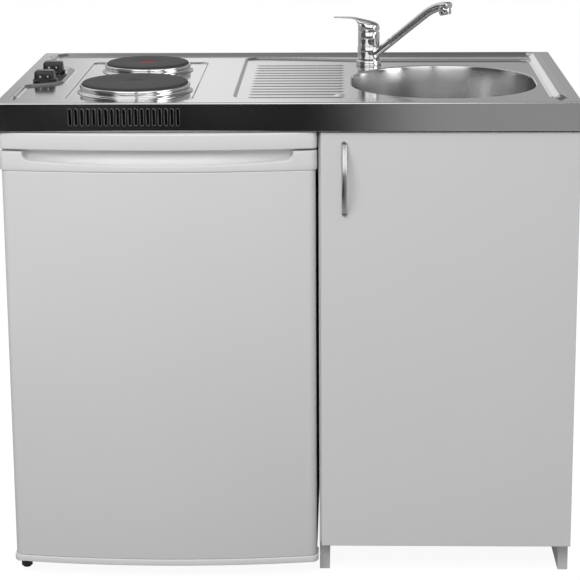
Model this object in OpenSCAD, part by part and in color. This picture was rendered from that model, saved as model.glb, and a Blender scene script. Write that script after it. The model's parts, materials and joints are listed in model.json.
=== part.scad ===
// Kitchenette unit: a pressed steel worktop with a sink, a drainer and two hotplates,
// carried by a cupboard on the right and a refrigerator on the left.
// Lengths are in millimetres. Places run from the worktop's front left corner, on the floor:
// x to the right, y to the back, z up. The module unit() puts the finished pieces round the origin.

/* [Worktop] */
// Width of the worktop
worktop_w = 1000; // [980:1:1300]
// Depth of the worktop
worktop_d = 600; // [560:1:750]
// Height of the worktop's surface above the floor
worktop_h = 865; // [760:1:1040]
// Height of the turned-down apron
apron_h = 50; // [46:1:70]
// Thickness of the steel sheet
sheet_t = 1; // [0.8:0.1:1.5]
// Height of the raised bead that keeps water in
bead_h = 4; // [2:0.5:6]
// Width of the raised bead
bead_w = 12; // [8:1:20]
// Distance of the side beads from the worktop's ends
bead_end = 33; // [24:1:45]
// Distance of the rear bead from the back edge
bead_back = 40; // [34:1:60]
// Depth to which the sink and drainer area is pressed
wet_drop = 3; // [1:0.5:5]

/* [Vents] */
// Number of slots in the apron
vent_count = 19; // [5:1:25]
// Distance from slot to slot
vent_pitch = 10.25; // [8:0.25:14]
// Width of a slot
vent_w = 4.8; // [3:0.1:6]
// Height of a slot
vent_h = 29; // [15:1:34]
// Place of the first slot from the left end
vent_x = 129; // [110:1:140]

/* [Sink] */
// Length of the bowl from side to side
bowl_w = 330; // [280:1:400]
// Length of the bowl from front to back
bowl_d = 380; // [320:1:395]
// Depth of the bowl
bowl_depth = 150; // [120:1:190]
// Radius of the bowl's corners
bowl_r = 160; // [80:1:165]
// Distance from the bowl to the worktop's right end
bowl_end = 60; // [56:1:90]
// Distance from the bowl to the worktop's front edge
bowl_front = 60; // [52:1:80]
// Outer diameter of the basket waste
waste_d = 112; // [90:1:120]
// Outer diameter of the waste pipe
pipe_d = 40; // [32:1:50]

/* [Drainer] */
// Number of ribs
rib_count = 13; // [6:1:14]
// Distance from rib to rib
rib_pitch = 30.7; // [20:0.1:32]
// Width of a rib
rib_w = 12; // [8:1:18]
// Length of the ribs
rib_l = 167; // [100:1:170]
// Height of the ribs
rib_h = 2.5; // [1:0.5:3]
// Place of the ribs' left end
rib_x = 428; // [420:1:434]

/* [Hob] */
// Radius of the front hotplate
plate_front_r = 94; // [80:1:98]
// Radius of the rear hotplate
plate_rear_r = 77; // [65:1:85]
// Place of both hotplates from the left end
plate_x = 227; // [220:1:240]
// Place of the front hotplate from the front edge
plate_front_y = 141; // [130:1:145]
// Distance between the hotplates' centres
plate_gap_y = 235; // [225:1:245]
// Height of the hotplates' tops above the worktop
plate_top = 16; // [12:1:20]
// Diameter of the control knobs
knob_d = 44; // [34:1:46]
// Height of the control knobs
knob_h = 21; // [16:1:26]
// Place of the knobs from the left end
knob_x = 53; // [50:1:56]
// Place of the front knob from the front edge
knob_y = 235; // [225:1:245]
// Distance between the knobs
knob_pitch = 110; // [90:1:125]
// Diameter of the controls' spindles
spindle_d = 6; // [5:0.5:8]

/* [Tap] */
// Diameter of the tap's body
tap_d = 43; // [38:1:50]
// Height of the tap's body above the worktop
tap_body_h = 60; // [55:1:90]
// Distance of the tap's axis behind the bowl's back edge
tap_back = 20; // [16:1:24]
// Distance of the tap's axis from the bowl's left edge
tap_in = 33; // [20:1:40]
// Reach of the spout from the tap's axis to the outlet
spout_reach = 169; // [150:1:220]
// Height of the outlet above the tap's foot
outlet_h = 103; // [95:1:140]
// Turn of the spout towards the bowl, from the worktop's length
spout_turn = 33; // [0:1:60]
// Length of the lever from the tap's axis to its tip
lever_l = 67; // [55:1:90]

/* [Cupboard] */
// Width of the bay that the refrigerator stands in
bay_w = 552; // [548:1:560]
// Thickness of the boards
board_t = 18; // [15:1:20]
// Distance of the carcass from the worktop's back edge
carcass_back = 20; // [15:1:40]
// Height of the door's lower edge above the floor
door_bottom = 61; // [50:1:100]
// Distance of the door's face behind the worktop's front edge
door_set = 7; // [4:1:10]
// Distance that the feet stand back behind the carcass
toe_set = 22; // [10:1:60]
// Height of the shelf
shelf_h = 330; // [200:1:380]
// Length of the bow handle
handle_l = 134; // [100:1:180]
// Distance that the bow handle stands out from the door
handle_out = 26; // [20:1:32]
// Width of the bow handle
handle_w = 9.5; // [8:0.5:14]
// Distance of the handle's middle from the door's top edge
handle_drop = 80; // [75:1:140]

/* [Refrigerator] */
// Width of the refrigerator's trims
fridge_w = 547; // [540:1:548]
// Bulge of the refrigerator's front in the middle
bulge = 22; // [10:1:25]
// Height of the fixed panel over the door
fascia_h = 29; // [20:1:40]
// Height of the handle strip on top of the door
strip_h = 33.5; // [28:0.5:40]
// Height of the bottom trim's lower edge above the floor
trim_z = 30; // [28:1:45]
// Height of the bottom trim
trim_h = 11.5; // [8:0.5:16]
// Thickness of the insulated walls
wall_t = 35; // [28:1:45]
// Height of the compressor's recess
recess_h = 200; // [190:1:240]
// Depth of the compressor's recess
recess_d = 155; // [150:1:180]
// Radius of the compressor's can
can_r = 66; // [55:1:68]

/* [Clearances] */
// Gap between the refrigerator's parts, and under the apron
gap = 3; // [2:0.5:4]
// Radial clearance of a turning fit
run = 0.05; // [0.02:0.01:0.1]
// Distance between faces that pass each other
free = 0.4; // [0.3:0.1:1]

/* [Hidden] */
$fn = 64;
eps = 0.01;

steel = "#c9cbcd";
chrome = "#dfe2e5";
iron = "#3a3a3b";
black = "#1b1b1c";
white = "#f2f2f1";
plastic = "#e8eaec";
timber = "#c9a877";

// Levels and faces that several pieces share
carcass_top = worktop_h - apron_h;
carcass_front = door_set + board_t + 2;
carcass_end = worktop_d - carcass_back;
inner_left = bay_w + board_t;
inner_right = worktop_w - board_t;
toe_y = carcass_front + toe_set;
front_most = min(door_set - handle_out, door_set - bulge);
mid_y = (front_most + worktop_d) / 2;
under = worktop_h - sheet_t;

// The pressed areas, as [x0, y0, x1, y1]
hob_drop = 2;
hob_area = [114, plate_front_y - plate_front_r - 13, 336, 470];
hob_level = worktop_h - hob_drop;
bowl_x1 = worktop_w - bowl_end;
bowl_x0 = bowl_x1 - bowl_w;
bowl_y0 = bowl_front;
bowl_y1 = bowl_y0 + bowl_d;
bowl_cx = (bowl_x0 + bowl_x1) / 2;
bowl_cy = (bowl_y0 + bowl_y1) / 2;
wet_area = [405, 42, worktop_w - bead_end - bead_w, worktop_d - bead_back - bead_w - 14];
wet_level = worktop_h - wet_drop;
bowl_floor = wet_level - bowl_depth;
plate_y = [plate_front_y, plate_front_y + plate_gap_y];
rib_y0 = bowl_cy + 7 - (rib_count - 1) * rib_pitch / 2;
tap_x = bowl_x0 + tap_in;
tap_y = bowl_y1 + tap_back;

// The door's hinge line, and the pivots of the hinge links
door_x0 = bay_w + 4;
door_x1 = worktop_w - 0.5;
door_y1 = door_set + board_t;
door_top = carcass_top - gap;
axis_x = door_x1 - 6.5;
axis_y = door_set + 4;
cup_x = door_x1 - 20.5;
cup_d = 35;
cup_depth = 11.5;
hinge_z = [door_bottom + 90, door_top - 90];
link_pivot = [inner_right - 18, carcass_front + 2];
link_l = 25;
link_angle = -26;

// Refrigerator
fridge_x0 = (bay_w - fridge_w) / 2 + 0.5;
fridge_x1 = fridge_x0 + fridge_w;
fridge_mid = (fridge_x0 + fridge_x1) / 2;
fridge_top = carcass_top - 2;
fascia_z = fridge_top - fascia_h;
strip_top = fascia_z - gap - 0.5;
strip_z = strip_top - strip_h;
skin_in = 3;
case_x0 = fridge_x0 + skin_in;
case_x1 = fridge_x1 - skin_in;
case_y0 = 60;
case_y1 = worktop_d - 45;
case_z0 = 28;
fdoor_y1 = case_y0 - 10;
cavity_x0 = case_x0 + wall_t;
cavity_x1 = case_x1 - wall_t;
cavity_y1 = case_y1 - wall_t;
cavity_z0 = case_z0 + wall_t + 12;
cavity_z1 = fascia_z - 8;
hump_y = case_y1 - recess_d - wall_t;
hump_z = case_z0 + recess_h + wall_t;
liner_t = 2;
bulge_r = (pow(fridge_w / 2, 2) + pow(bulge, 2)) / (2 * bulge);
fhinge_x = fridge_x0 + 13;
fhinge_y = door_set + 21;
pin_d = 8;

module unit() {
    translate([-worktop_w / 2, -mid_y, 0]) children();
}

// A rectangle from corner to corner with round corners
module round_area(a, r) {
    translate([a[0] + r, a[1]]) square([a[2] - a[0] - 2 * r, a[3] - a[1]]);
    translate([a[0], a[1] + r]) square([a[2] - a[0], a[3] - a[1] - 2 * r]);
    for (x = [a[0] + r, a[2] - r], y = [a[1] + r, a[3] - r]) translate([x, y]) circle(r);
}

function grown(a, g) = [a[0] - g, a[1] - g, a[2] + g, a[3] + g];

module block(x0, y0, z0, x1, y1, z1) {
    translate([x0, y0, z0]) cube([x1 - x0, y1 - y0, z1 - z0]);
}

// A tube with its axis upright
module ring(d_out, d_in, h) {
    difference() {
        cylinder(d = d_out, h = h);
        translate([0, 0, -1]) cylinder(d = d_in, h = h + 2);
    }
}

// An outline in y and z, given a thickness along x
module across(x, t) {
    translate([x, 0, 0]) rotate([90, 0, 90]) linear_extrude(t) children();
}

// A round bar from one point to another
module rod(a, b, d) {
    v = b - a;
    l = norm(v);
    translate(a) rotate([0, acos(v[2] / l), atan2(v[1], v[0])]) cylinder(d = d, h = l);
}

// ---------- Worktop ----------

// The bead's path: up the left end, round the knobs, along the back and down the right end
bead_path = [
    [bead_end - 8, 52], [bead_end - 8, knob_y - 66], [bead_end, knob_y - 56],
    [bead_end + 48, knob_y - 27], [bead_end + 53, knob_y - 16],
    [bead_end + 53, knob_y + knob_pitch + 20], [bead_end + 47, knob_y + knob_pitch + 34],
    [bead_end - 2, knob_y + knob_pitch + 80], [bead_end - 6, knob_y + knob_pitch + 92],
    [bead_end, worktop_d - bead_back - 14],
    [bead_end + 14, worktop_d - bead_back], [worktop_w - bead_end - 14, worktop_d - bead_back],
    [worktop_w - bead_end, worktop_d - bead_back - 14], [worktop_w - bead_end, 48]];

function unit2(v) = v / norm(v);
function turned(v) = [-v[1], v[0]];
bead_last = len(bead_path) - 1;
bead_dir = [for (i = [0:bead_last - 1]) unit2(bead_path[i + 1] - bead_path[i])];
bead_side = [for (i = [0:bead_last])
    let (a = turned(bead_dir[max(i - 1, 0)]), b = turned(bead_dir[min(i, bead_last - 1)]))
        (a + b) / (1 + a * b) * bead_w / 2];

module bead() {
    polygon(concat([for (i = [0:bead_last]) bead_path[i] + bead_side[i]],
        [for (i = [0:bead_last]) bead_path[bead_last - i] - bead_side[bead_last - i]]));
}

module vent_slots() {
    for (i = [0:vent_count - 1]) translate([vent_x + i * vent_pitch, 0, worktop_h - apron_h / 2])
        rotate([90, 0, 0]) linear_extrude(3 * sheet_t, center = true)
            round_area([-vent_w / 2, -vent_h / 2, vent_w / 2, vent_h / 2], vent_w / 2 - 0.2);
}

module ribs() {
    for (i = [0:rib_count - 1]) {
        y = rib_y0 + i * rib_pitch;
        translate([0, 0, wet_level - eps]) linear_extrude(rib_h + eps)
            round_area([rib_x, y - rib_w / 2, rib_x + rib_l, y + rib_w / 2], rib_w / 2 - 0.1);
    }
}

module worktop_sheet() {
    color(steel) unit() difference() {
        union() {
            difference() {
                union() {
                    difference() {
                        block(0, 0, carcass_top, worktop_w, worktop_d, worktop_h);
                        block(sheet_t, sheet_t, carcass_top - 1, worktop_w - sheet_t,
                            worktop_d - sheet_t, under);
                    }
                    translate([0, 0, wet_level - sheet_t]) linear_extrude(wet_drop + sheet_t)
                        round_area(grown(wet_area, sheet_t), 31);
                    translate([0, 0, hob_level - sheet_t]) linear_extrude(hob_drop + sheet_t)
                        round_area(grown(hob_area, sheet_t), 16);
                }
                translate([0, 0, wet_level]) linear_extrude(wet_drop + 1)
                    round_area(wet_area, 30);
                translate([0, 0, hob_level]) linear_extrude(hob_drop + 1)
                    round_area(hob_area, 15);
            }
            translate([0, 0, worktop_h - eps]) linear_extrude(bead_h + eps) bead();
            ribs();
        }
        translate([0, 0, worktop_h - 20]) linear_extrude(40)
            round_area([bowl_x0, bowl_y0, bowl_x1, bowl_y1], bowl_r);
        hotplate_holes();
        for (i = [0, 1]) translate([knob_x, knob_y + i * knob_pitch, worktop_h - 20])
            cylinder(d = 11, h = 40);
        translate([tap_x, tap_y, worktop_h - 20]) cylinder(d = 35, h = 40);
        vent_slots();
    }
}

module hotplate_holes() {
    for (i = [0, 1]) translate([plate_x, plate_y[i], worktop_h - 20])
        cylinder(r = plate_r(i) - 3, h = 40);
}

function plate_r(i) = i == 0 ? plate_front_r : plate_rear_r;

// One level of the bowl, drawn in from the rim by a distance
module bowl_level(z, inset, r) {
    translate([0, 0, z]) linear_extrude(0.1)
        round_area(grown([bowl_x0, bowl_y0, bowl_x1, bowl_y1], -inset), r, $fn = 48);
}

module sink_bowl() {
    rim = wet_level - sheet_t;
    color(steel) unit() difference() {
        union() {
            hull() {
                bowl_level(rim - 0.1, -sheet_t, bowl_r + sheet_t);
                bowl_level(bowl_floor + 38 - sheet_t, 11 - sheet_t, bowl_r - 8);
                bowl_level(bowl_floor + 10 - sheet_t, 22 - sheet_t, bowl_r - 18);
                bowl_level(bowl_floor - sheet_t, 40 - sheet_t, bowl_r - 34);
            }
            translate([0, 0, rim - sheet_t]) linear_extrude(sheet_t)
                round_area(grown([bowl_x0, bowl_y0, bowl_x1, bowl_y1], 6), bowl_r + 6);
        }
        hull() {
            bowl_level(rim + 1, 0, bowl_r);
            bowl_level(bowl_floor + 38, 11, bowl_r - 8);
            bowl_level(bowl_floor + 10, 22, bowl_r - 18);
            bowl_level(bowl_floor, 40, bowl_r - 34);
        }
        translate([bowl_cx, bowl_cy, bowl_floor - 20]) cylinder(d = waste_d - 22, h = 40);
        beside_bowl() translate([0, wall_r - 20, overflow_z]) rotate([-90, 0, 0])
            cylinder(d = 24, h = 60);
    }
}

// The overflow sits in the bowl's left wall: y runs from the bowl's middle through that wall
overflow_z = wet_level - 45;
wall_lean = 11 / (bowl_depth - 38);
wall_tilt = atan(wall_lean);
wall_r = bowl_w / 2 - 45 * wall_lean;
module beside_bowl() {
    translate([bowl_cx, bowl_cy, 0]) rotate(90) children();
}

// Wooden frame glued under the sheet, which stands on the carcass and the refrigerator
batten_w = 18;
batten_end = 2;
module worktop_battens() {
    top = wet_level - sheet_t;
    x1 = worktop_w - sheet_t - batten_end;
    y1 = worktop_d - sheet_t - batten_end;
    front_from = hob_area[2] + 22;
    color(timber) unit() {
        block(front_from, 3, carcass_top, x1, 3 + batten_w, top);
        block(3, 3, carcass_top, 3 + batten_w, y1, top);
        block(3 + batten_w, 3, carcass_top, vent_x - 24, 3 + batten_w, top);
        block(3 + batten_w, y1 - batten_w, carcass_top, x1, y1, top);
        block(front_from, 3 + batten_w, carcass_top, front_from + batten_w, y1 - batten_w, top);
        block(x1 - batten_w, 3 + batten_w, carcass_top, x1, y1 - batten_w, top);
        for (y = [90, worktop_d - 110]) block(3, y, fridge_top, 3 + batten_w, y + 30, carcass_top);
    }
}

// ---------- Hob ----------

// A cast-iron hotplate with its stud seat and its ceramic terminal block
module hotplate(i) {
    r = plate_r(i);
    top = worktop_h + plate_top;
    translate([plate_x, plate_y[i], 0]) difference() {
        union() {
            rotate_extrude($fn = 128) polygon([[0, top - 1.2], [r * 0.24, top - 1.2],
                [r * 0.26, top], [r - 1, top], [r, top - 1], [r, top - 4], [r - 5, top - 4],
                [r - 5, worktop_h - 6], [0, worktop_h - 6]]);
            block(20, -14, worktop_h - 18, 50, 14, worktop_h - 6);
        }
        translate([0, 0, worktop_h - 7]) cylinder(d = 8 + 2 * run, h = 8);
    }
}

module hotplate_front() {
    color(iron) unit() hotplate(0);
}

module hotplate_rear() {
    color(iron) unit() hotplate(1);
}

// The bright ring that seals a hotplate to the sheet and catches what boils over
module spill_ring(i) {
    r = plate_r(i);
    low = hob_level;
    top = worktop_h + plate_top - 4;
    translate([plate_x, plate_y[i], 0]) rotate_extrude($fn = 128) polygon([
        [r - 4.6, top], [r + 0.6, top], [r + 1.6, top - 1.5], [r + 1.2, top - 5],
        [r + 2.4, low + 4.5], [r + 8, low + 2], [r + 8, low], [r + 1, low],
        [r + 0.2, low + 4], [r, top - 5], [r - 0.2, top - 1.2], [r - 4.6, top - 1.2]]);
}

module spill_ring_front() {
    color(chrome) unit() spill_ring(0);
}

module spill_ring_rear() {
    color(chrome) unit() spill_ring(1);
}

tray_z = carcass_top + 7;
module hob_tray() {
    a = grown(hob_area, 9);
    color(steel) unit() difference() {
        block(a[0], a[1], tray_z, a[2], a[3], under);
        block(a[0] + 1, a[1] + 1, tray_z + 1, a[2] - 1, a[3] - 1, under + 1);
        translate([0, 0, under - 10]) linear_extrude(20) round_area(grown(hob_area, 1.5), 16.5);
        translate([a[0] + 30, a[3] - 40, tray_z - 5]) cylinder(d = 20, h = 20);
    }
}

// A bridge, a stud and a nut that pull a hotplate down onto the sheet
module hotplate_clamp(i) {
    reach = plate_r(i) + 3;
    low = worktop_h - 28;
    translate([plate_x, plate_y[i], 0]) {
        difference() {
            union() {
                block(-reach, -9, low, reach, 9, low + 2);
                for (s = [-1, 1]) translate([s * (reach - 1), 0, 0])
                    block(-1, -9, low, 1, 9, hob_level - sheet_t);
            }
            translate([0, 0, low - 1]) cylinder(d = 8 + 2 * run, h = 4);
        }
        translate([0, 0, low - 9]) cylinder(d = 8, h = worktop_h + 0.5 - low + 9);
        translate([0, 0, low - 6.5]) difference() {
            cylinder(d = 15, h = 6.5, $fn = 6);
            translate([0, 0, -1]) cylinder(d = 8 + 2 * run, h = 9);
        }
    }
}

module hotplate_clamps() {
    color(steel) unit() for (i = [0, 1]) hotplate_clamp(i);
}

regulator_w = 40;
regulator_low = carcass_top + 5;
module regulator(i) {
    translate([knob_x, knob_y + i * knob_pitch, 0]) difference() {
        union() {
            block(-regulator_w / 2 + 2, -regulator_w / 2, regulator_low, regulator_w / 2,
                regulator_w / 2, under - 3);
            translate([0, 0, under - 3]) cylinder(d = 16, h = 3);
            for (s = [-1, 1]) block(-4, s * 14 - 3, regulator_low - 5, -3, s * 14 + 3, regulator_low);
        }
        translate([0, 0, under - 32]) cylinder(d = spindle_d + 2 * run, h = 40);
    }
}

module regulator_front() {
    color(white) unit() regulator(0);
}

module regulator_rear() {
    color(white) unit() regulator(1);
}

// A knob on its spindle: a round skirt under a broad grip
module knob(i) {
    grip_w = knob_d * 0.86;
    grip_d = knob_d * 0.72;
    translate([knob_x, knob_y + i * knob_pitch, worktop_h + free]) {
        cylinder(d = knob_d, h = knob_h * 0.3);
        linear_extrude(knob_h - free)
            round_area([-grip_w / 2, -grip_d / 2, grip_w / 2, grip_d / 2], 5);
        translate([0, 0, -24]) cylinder(d = spindle_d, h = 25);
    }
}

module knob_front() {
    color(black) unit() knob(0);
}

module knob_rear() {
    color(black) unit() knob(1);
}

// Box under the worktop where the hob's supply is wired in, with its cable gland
gland_z = carcass_top + 20;
module hob_terminal_box() {
    x = 40;
    y = worktop_d - 62;
    color(black) unit() difference() {
        union() {
            block(x, y, carcass_top + 6, x + 90, y + 34, under);
            translate([x + 88, y + 17, gland_z]) rotate([0, 90, 0]) cylinder(d = 20, h = 20);
        }
        translate([x + 80, y + 17, gland_z]) rotate([0, 90, 0]) cylinder(d = 10, h = 30);
    }
}

// ---------- Waste ----------

basket_z = -14;
module strainer_flange() {
    color(chrome) unit() translate([bowl_cx, bowl_cy, bowl_floor]) difference() {
        union() {
            cylinder(d = waste_d, h = 1.5);
            translate([0, 0, -28]) cylinder(d = waste_d - 24, h = 29);
        }
        translate([0, 0, basket_z - 0.3]) cylinder(d = waste_d - 28, h = 40);
        translate([0, 0, -26]) cylinder(d = waste_d - 38, h = 20);
        for (k = [0:5]) rotate(k * 60) translate([20, 0, -30]) cylinder(d = 14, h = 10);
        translate([0, 0, -30]) cylinder(d = 8 + 2 * free, h = 10);
    }
}

// The basket, which lifts out of the flange by its knob
module strainer_basket() {
    seat = basket_z;
    color(chrome) unit() translate([bowl_cx, bowl_cy, bowl_floor]) difference() {
        union() {
            translate([0, 0, seat]) cylinder(d = waste_d - 30, h = 2);
            translate([0, 0, seat]) ring(waste_d - 30, waste_d - 34, 14);
            cylinder(d = 9, h = 10);
            translate([0, 0, seat]) cylinder(d = 6, h = 15);
            translate([0, 0, 8]) cylinder(d = 16, h = 4);
            translate([0, 0, seat - 13]) cylinder(d = 8, h = 14);
        }
        for (r = [14, 24, 33], k = [0:11]) rotate(k * 30 + r) translate([r, 0, seat - 1])
            cylinder(d = 4, h = 4);
    }
}

module waste_cup() {
    top = bowl_floor - sheet_t;
    color(plastic) unit() translate([bowl_cx, bowl_cy, 0]) difference() {
        union() {
            translate([0, 0, top - 3]) cylinder(d = waste_d, h = 3);
            translate([0, 0, top - 48]) cylinder(d = waste_d - 12, h = 46);
            translate([0, 0, trap_top - 30]) cylinder(d = pipe_d, h = 60);
            rotate(90) translate([0, waste_d / 2 - 10, top - 26]) rotate([-90, 0, 0])
                cylinder(d = 26, h = 34);
        }
        translate([0, 0, top - 44]) cylinder(d = waste_d - 20, h = 60);
        translate([0, 0, trap_top - 31]) cylinder(d = pipe_d - 4, h = 62);
        rotate(90) translate([0, waste_d / 2 - 20, top - 26]) rotate([-90, 0, 0])
            cylinder(d = 20, h = 60);
    }
}

module overflow_rosette() {
    color(chrome) unit() beside_bowl() translate([0, wall_r, overflow_z])
        rotate([90 - wall_tilt, 0, 0]) difference() {
            union() {
                translate([0, 0, 0.1]) cylinder(d = 34, h = 2);
                translate([0, 0, -7]) cylinder(d = 19, h = 8);
            }
            for (k = [0:5]) rotate(k * 60) translate([6.2, 0, -10]) cylinder(d = 4, h = 14);
        }
}

overflow_r = bowl_w / 2 + 16;
overflow_in = waste_d / 2 + 24;
module overflow_pipe() {
    low = bowl_floor - sheet_t - 26;
    color(plastic) unit() beside_bowl() difference() {
        union() {
            translate([0, wall_r + sheet_t + 0.3, overflow_z]) rotate([-90 - wall_tilt, 0, 0])
                cylinder(d = 34, h = 12);
            translate([0, wall_r + 12, overflow_z - 1]) rotate([-90, 0, 0]) cylinder(d = 26, h = 18);
            translate([0, overflow_r, low]) cylinder(d = 22, h = overflow_z - low);
            translate([0, overflow_in, low]) rotate([-90, 0, 0])
                cylinder(d = 26, h = overflow_r + 13 - overflow_in);
        }
        translate([0, wall_r, overflow_z]) rotate([-90 - wall_tilt, 0, 0]) cylinder(d = 22, h = 12);
        translate([0, overflow_r, low]) cylinder(d = 17, h = overflow_z - low);
        translate([0, 0, low]) rotate([-90, 0, 0]) cylinder(d = 20, h = overflow_r);
    }
}

trap_top = bowl_floor - sheet_t - 72;
trap_h = 130;
trap_d = 74;
outlet_z = trap_top - 58;
module bottle_trap() {
    color(plastic) unit() translate([bowl_cx, bowl_cy, 0]) difference() {
        union() {
            translate([0, 0, trap_top - 40]) cylinder(d = pipe_d + 8, h = 44);
            translate([0, 0, trap_top - 16]) cylinder(d = pipe_d + 18, h = 18);
            translate([0, 0, trap_top - trap_h]) cylinder(d = trap_d - 14, h = 20);
            translate([0, 0, trap_top - trap_h + 16]) cylinder(d = trap_d, h = 30);
            translate([0, 0, trap_top - trap_h + 44]) cylinder(d = trap_d - 10, h = 52);
            translate([0, trap_d / 2 - 12, outlet_z]) rotate([-90, 0, 0])
                cylinder(d = pipe_d + 16, h = 34);
        }
        translate([0, 0, trap_top - 90]) cylinder(d = pipe_d - 4, h = 120);
        translate([0, 0, trap_top - 30]) cylinder(d = pipe_d + 2 * run, h = 60);
        translate([0, 0, trap_top - trap_h + 4]) cylinder(d = trap_d - 20, h = 84);
        translate([0, 0, outlet_z]) rotate([-90, 0, 0])
            cylinder(d = pipe_d - 1 + 2 * run, h = trap_d);
    }
}

// The pipe's last stretch, behind the carcass, has the full diameter that a drain socket takes
outlet_l = 14;
module waste_pipe() {
    y0 = bowl_cy + trap_d / 2 - 2;
    color(plastic) unit() translate([bowl_cx, y0, outlet_z]) rotate([-90, 0, 0]) difference() {
        union() {
            cylinder(d = pipe_d - 1, h = worktop_d - 4 - y0);
            translate([0, 0, worktop_d - 4 - y0 - outlet_l]) cylinder(d = pipe_d, h = outlet_l);
        }
        translate([0, 0, -1]) cylinder(d = pipe_d - 4, h = worktop_d);
    }
}

// ---------- Tap ----------

// Heights in the tap are taken from the worktop's surface; its foot stands in the pressed area
collar_z = 8;
collar_h = 24;
spigot_d = 33;
neck_z = tap_body_h;
stem_d = 27;
module tap_body() {
    color(chrome) unit() translate([tap_x, tap_y, worktop_h]) difference() {
        union() {
            translate([0, 0, -wet_drop]) cylinder(d = tap_d + 5, h = wet_drop + 6);
            cylinder(d = tap_d, h = collar_z);
            cylinder(d = spigot_d, h = collar_z + collar_h + 1);
            translate([0, 0, collar_z + collar_h + free]) cylinder(d = tap_d - 1,
                h = neck_z - collar_z - collar_h - free);
            for (s = [-1, 1]) translate([s * 8, 0, -50]) cylinder(d = 10, h = 51);
            translate([0, 0, seal_z]) cylinder(d = 32, h = 5 - seal_z);
        }
        translate([0, 0, neck_z - 16]) cylinder(d = stem_d + 2 * run, h = 20);
        for (s = [-1, 1]) translate([s * 8, 0, -51]) cylinder(d = 6, h = 60);
        translate([0, -11, -20]) cylinder(d = 6 + 2 * run, h = 24);
    }
}

// The spout rises straight from the collar, then bends over into its head
spout_t = 14.6;
rise = 37.4;
bend_r = 90;
bend_turn = rise - 7;
bend_x = spout_reach + 11;
bend_z = outlet_h + 17 - bend_r;
line_x0 = 8;
line_x1 = bend_x - bend_r * sin(rise);
line_z1 = bend_z + bend_r * cos(rise);
line_z0 = line_z1 - (line_x1 - line_x0) * tan(rise);
module tap_spout() {
    color(chrome) unit() translate([tap_x, tap_y, worktop_h]) difference() {
        union() {
            translate([0, 0, collar_z + free]) cylinder(d = tap_d, h = collar_h - free);
            rotate(-spout_turn) {
                translate([line_x0, 0, line_z0]) rotate([0, 90 - rise, 0])
                    cylinder(d = spout_t, h = (line_x1 - line_x0) / cos(rise));
                translate([line_x1, 0, line_z1]) rotate([0, 90 - rise, 0])
                    cylinder(d = spout_t + 0.6, h = 3, center = true);
                translate([bend_x, 0, bend_z]) rotate([90, 0, 0]) rotate(90 + rise - bend_turn)
                    rotate_extrude(angle = bend_turn) translate([bend_r, 0]) circle(d = spout_t);
                translate([spout_reach, 0, outlet_h]) rotate_extrude()
                    polygon([[0, 0], [12, 0], [12.5, 1], [12.5, 21], [10, 24], [0, 24]]);
            }
        }
        cylinder(d = spigot_d + 2 * run, h = 50);
        translate([0, 0, collar_z + collar_h]) cylinder(d = tap_d + 1, h = 50);
        rotate(-spout_turn) translate([spout_reach, 0, outlet_h - 1]) cylinder(d = 18, h = 13);
    }
}

module tap_aerator() {
    color(chrome) unit() translate([tap_x, tap_y, worktop_h]) rotate(-spout_turn)
        translate([spout_reach, 0, outlet_h - 3]) difference() {
            union() {
                cylinder(d = 23, h = 3);
                cylinder(d = 17.8, h = 14);
            }
            translate([0, 0, -1]) cylinder(d = 14, h = 6);
        }
}

// The stem that turns with the lever in the cartridge, and carries the lever on a cross pin
lever_pin = [12, tap_body_h + 14];
module tap_stem() {
    color("#b9a878") unit() translate([tap_x, tap_y, worktop_h]) {
        translate([0, 0, neck_z - 15]) cylinder(d = stem_d, h = 15.5);
        translate([0, 0, neck_z]) cylinder(d = 24, h = 2);
        block(lever_pin[0] - 6, -5, neck_z, lever_pin[0] + 1, 5, lever_pin[1]);
        translate([lever_pin[0], -5, lever_pin[1]]) rotate([-90, 0, 0]) cylinder(r = 3.5, h = 10);
        translate([lever_pin[0], -15, lever_pin[1]]) rotate([-90, 0, 0]) cylinder(d = 4, h = 30);
    }
}

// A dome over the cartridge with a thin blade to turn and lift it by
module tap_lever() {
    low = tap_body_h + 3;
    top = tap_body_h + 26;
    color(chrome) unit() translate([tap_x, tap_y, worktop_h]) difference() {
        union() {
            intersection() {
                translate([0, 0, low]) cylinder(d = tap_d, h = 30);
                translate([-10, 0, top - 62]) sphere(r = 62);
                translate([-21, 0, low + 4]) rotate([90, 0, 0]) cylinder(r = 44, h = 80, center = true);
            }
            intersection() {
                rotate([90, 0, 0]) linear_extrude(60, center = true)
                    polygon([[2, top - 6], [2, top - 0.6], [-25, top + 2.6], [-lever_l, top + 5],
                        [-lever_l, top + 2], [-30, top - 2], [-18, top - 8]]);
                translate([0, 0, top - 10]) linear_extrude(20)
                    polygon([[4, -15], [-12, -15], [-30, -13], [-lever_l + 5, -11.5],
                        [-lever_l, -8], [-lever_l, 8], [-lever_l + 5, 11.5], [-30, 13], [-12, 15],
                        [4, 15]]);
            }
        }
        translate([0, 0, low - 1]) cylinder(d = tap_d - 6, h = lever_pin[1] + 5 - low + 1);
        translate([lever_pin[0], -30, lever_pin[1]]) rotate([-90, 0, 0])
            cylinder(d = 4 + 2 * run, h = 60);
    }
}

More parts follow.
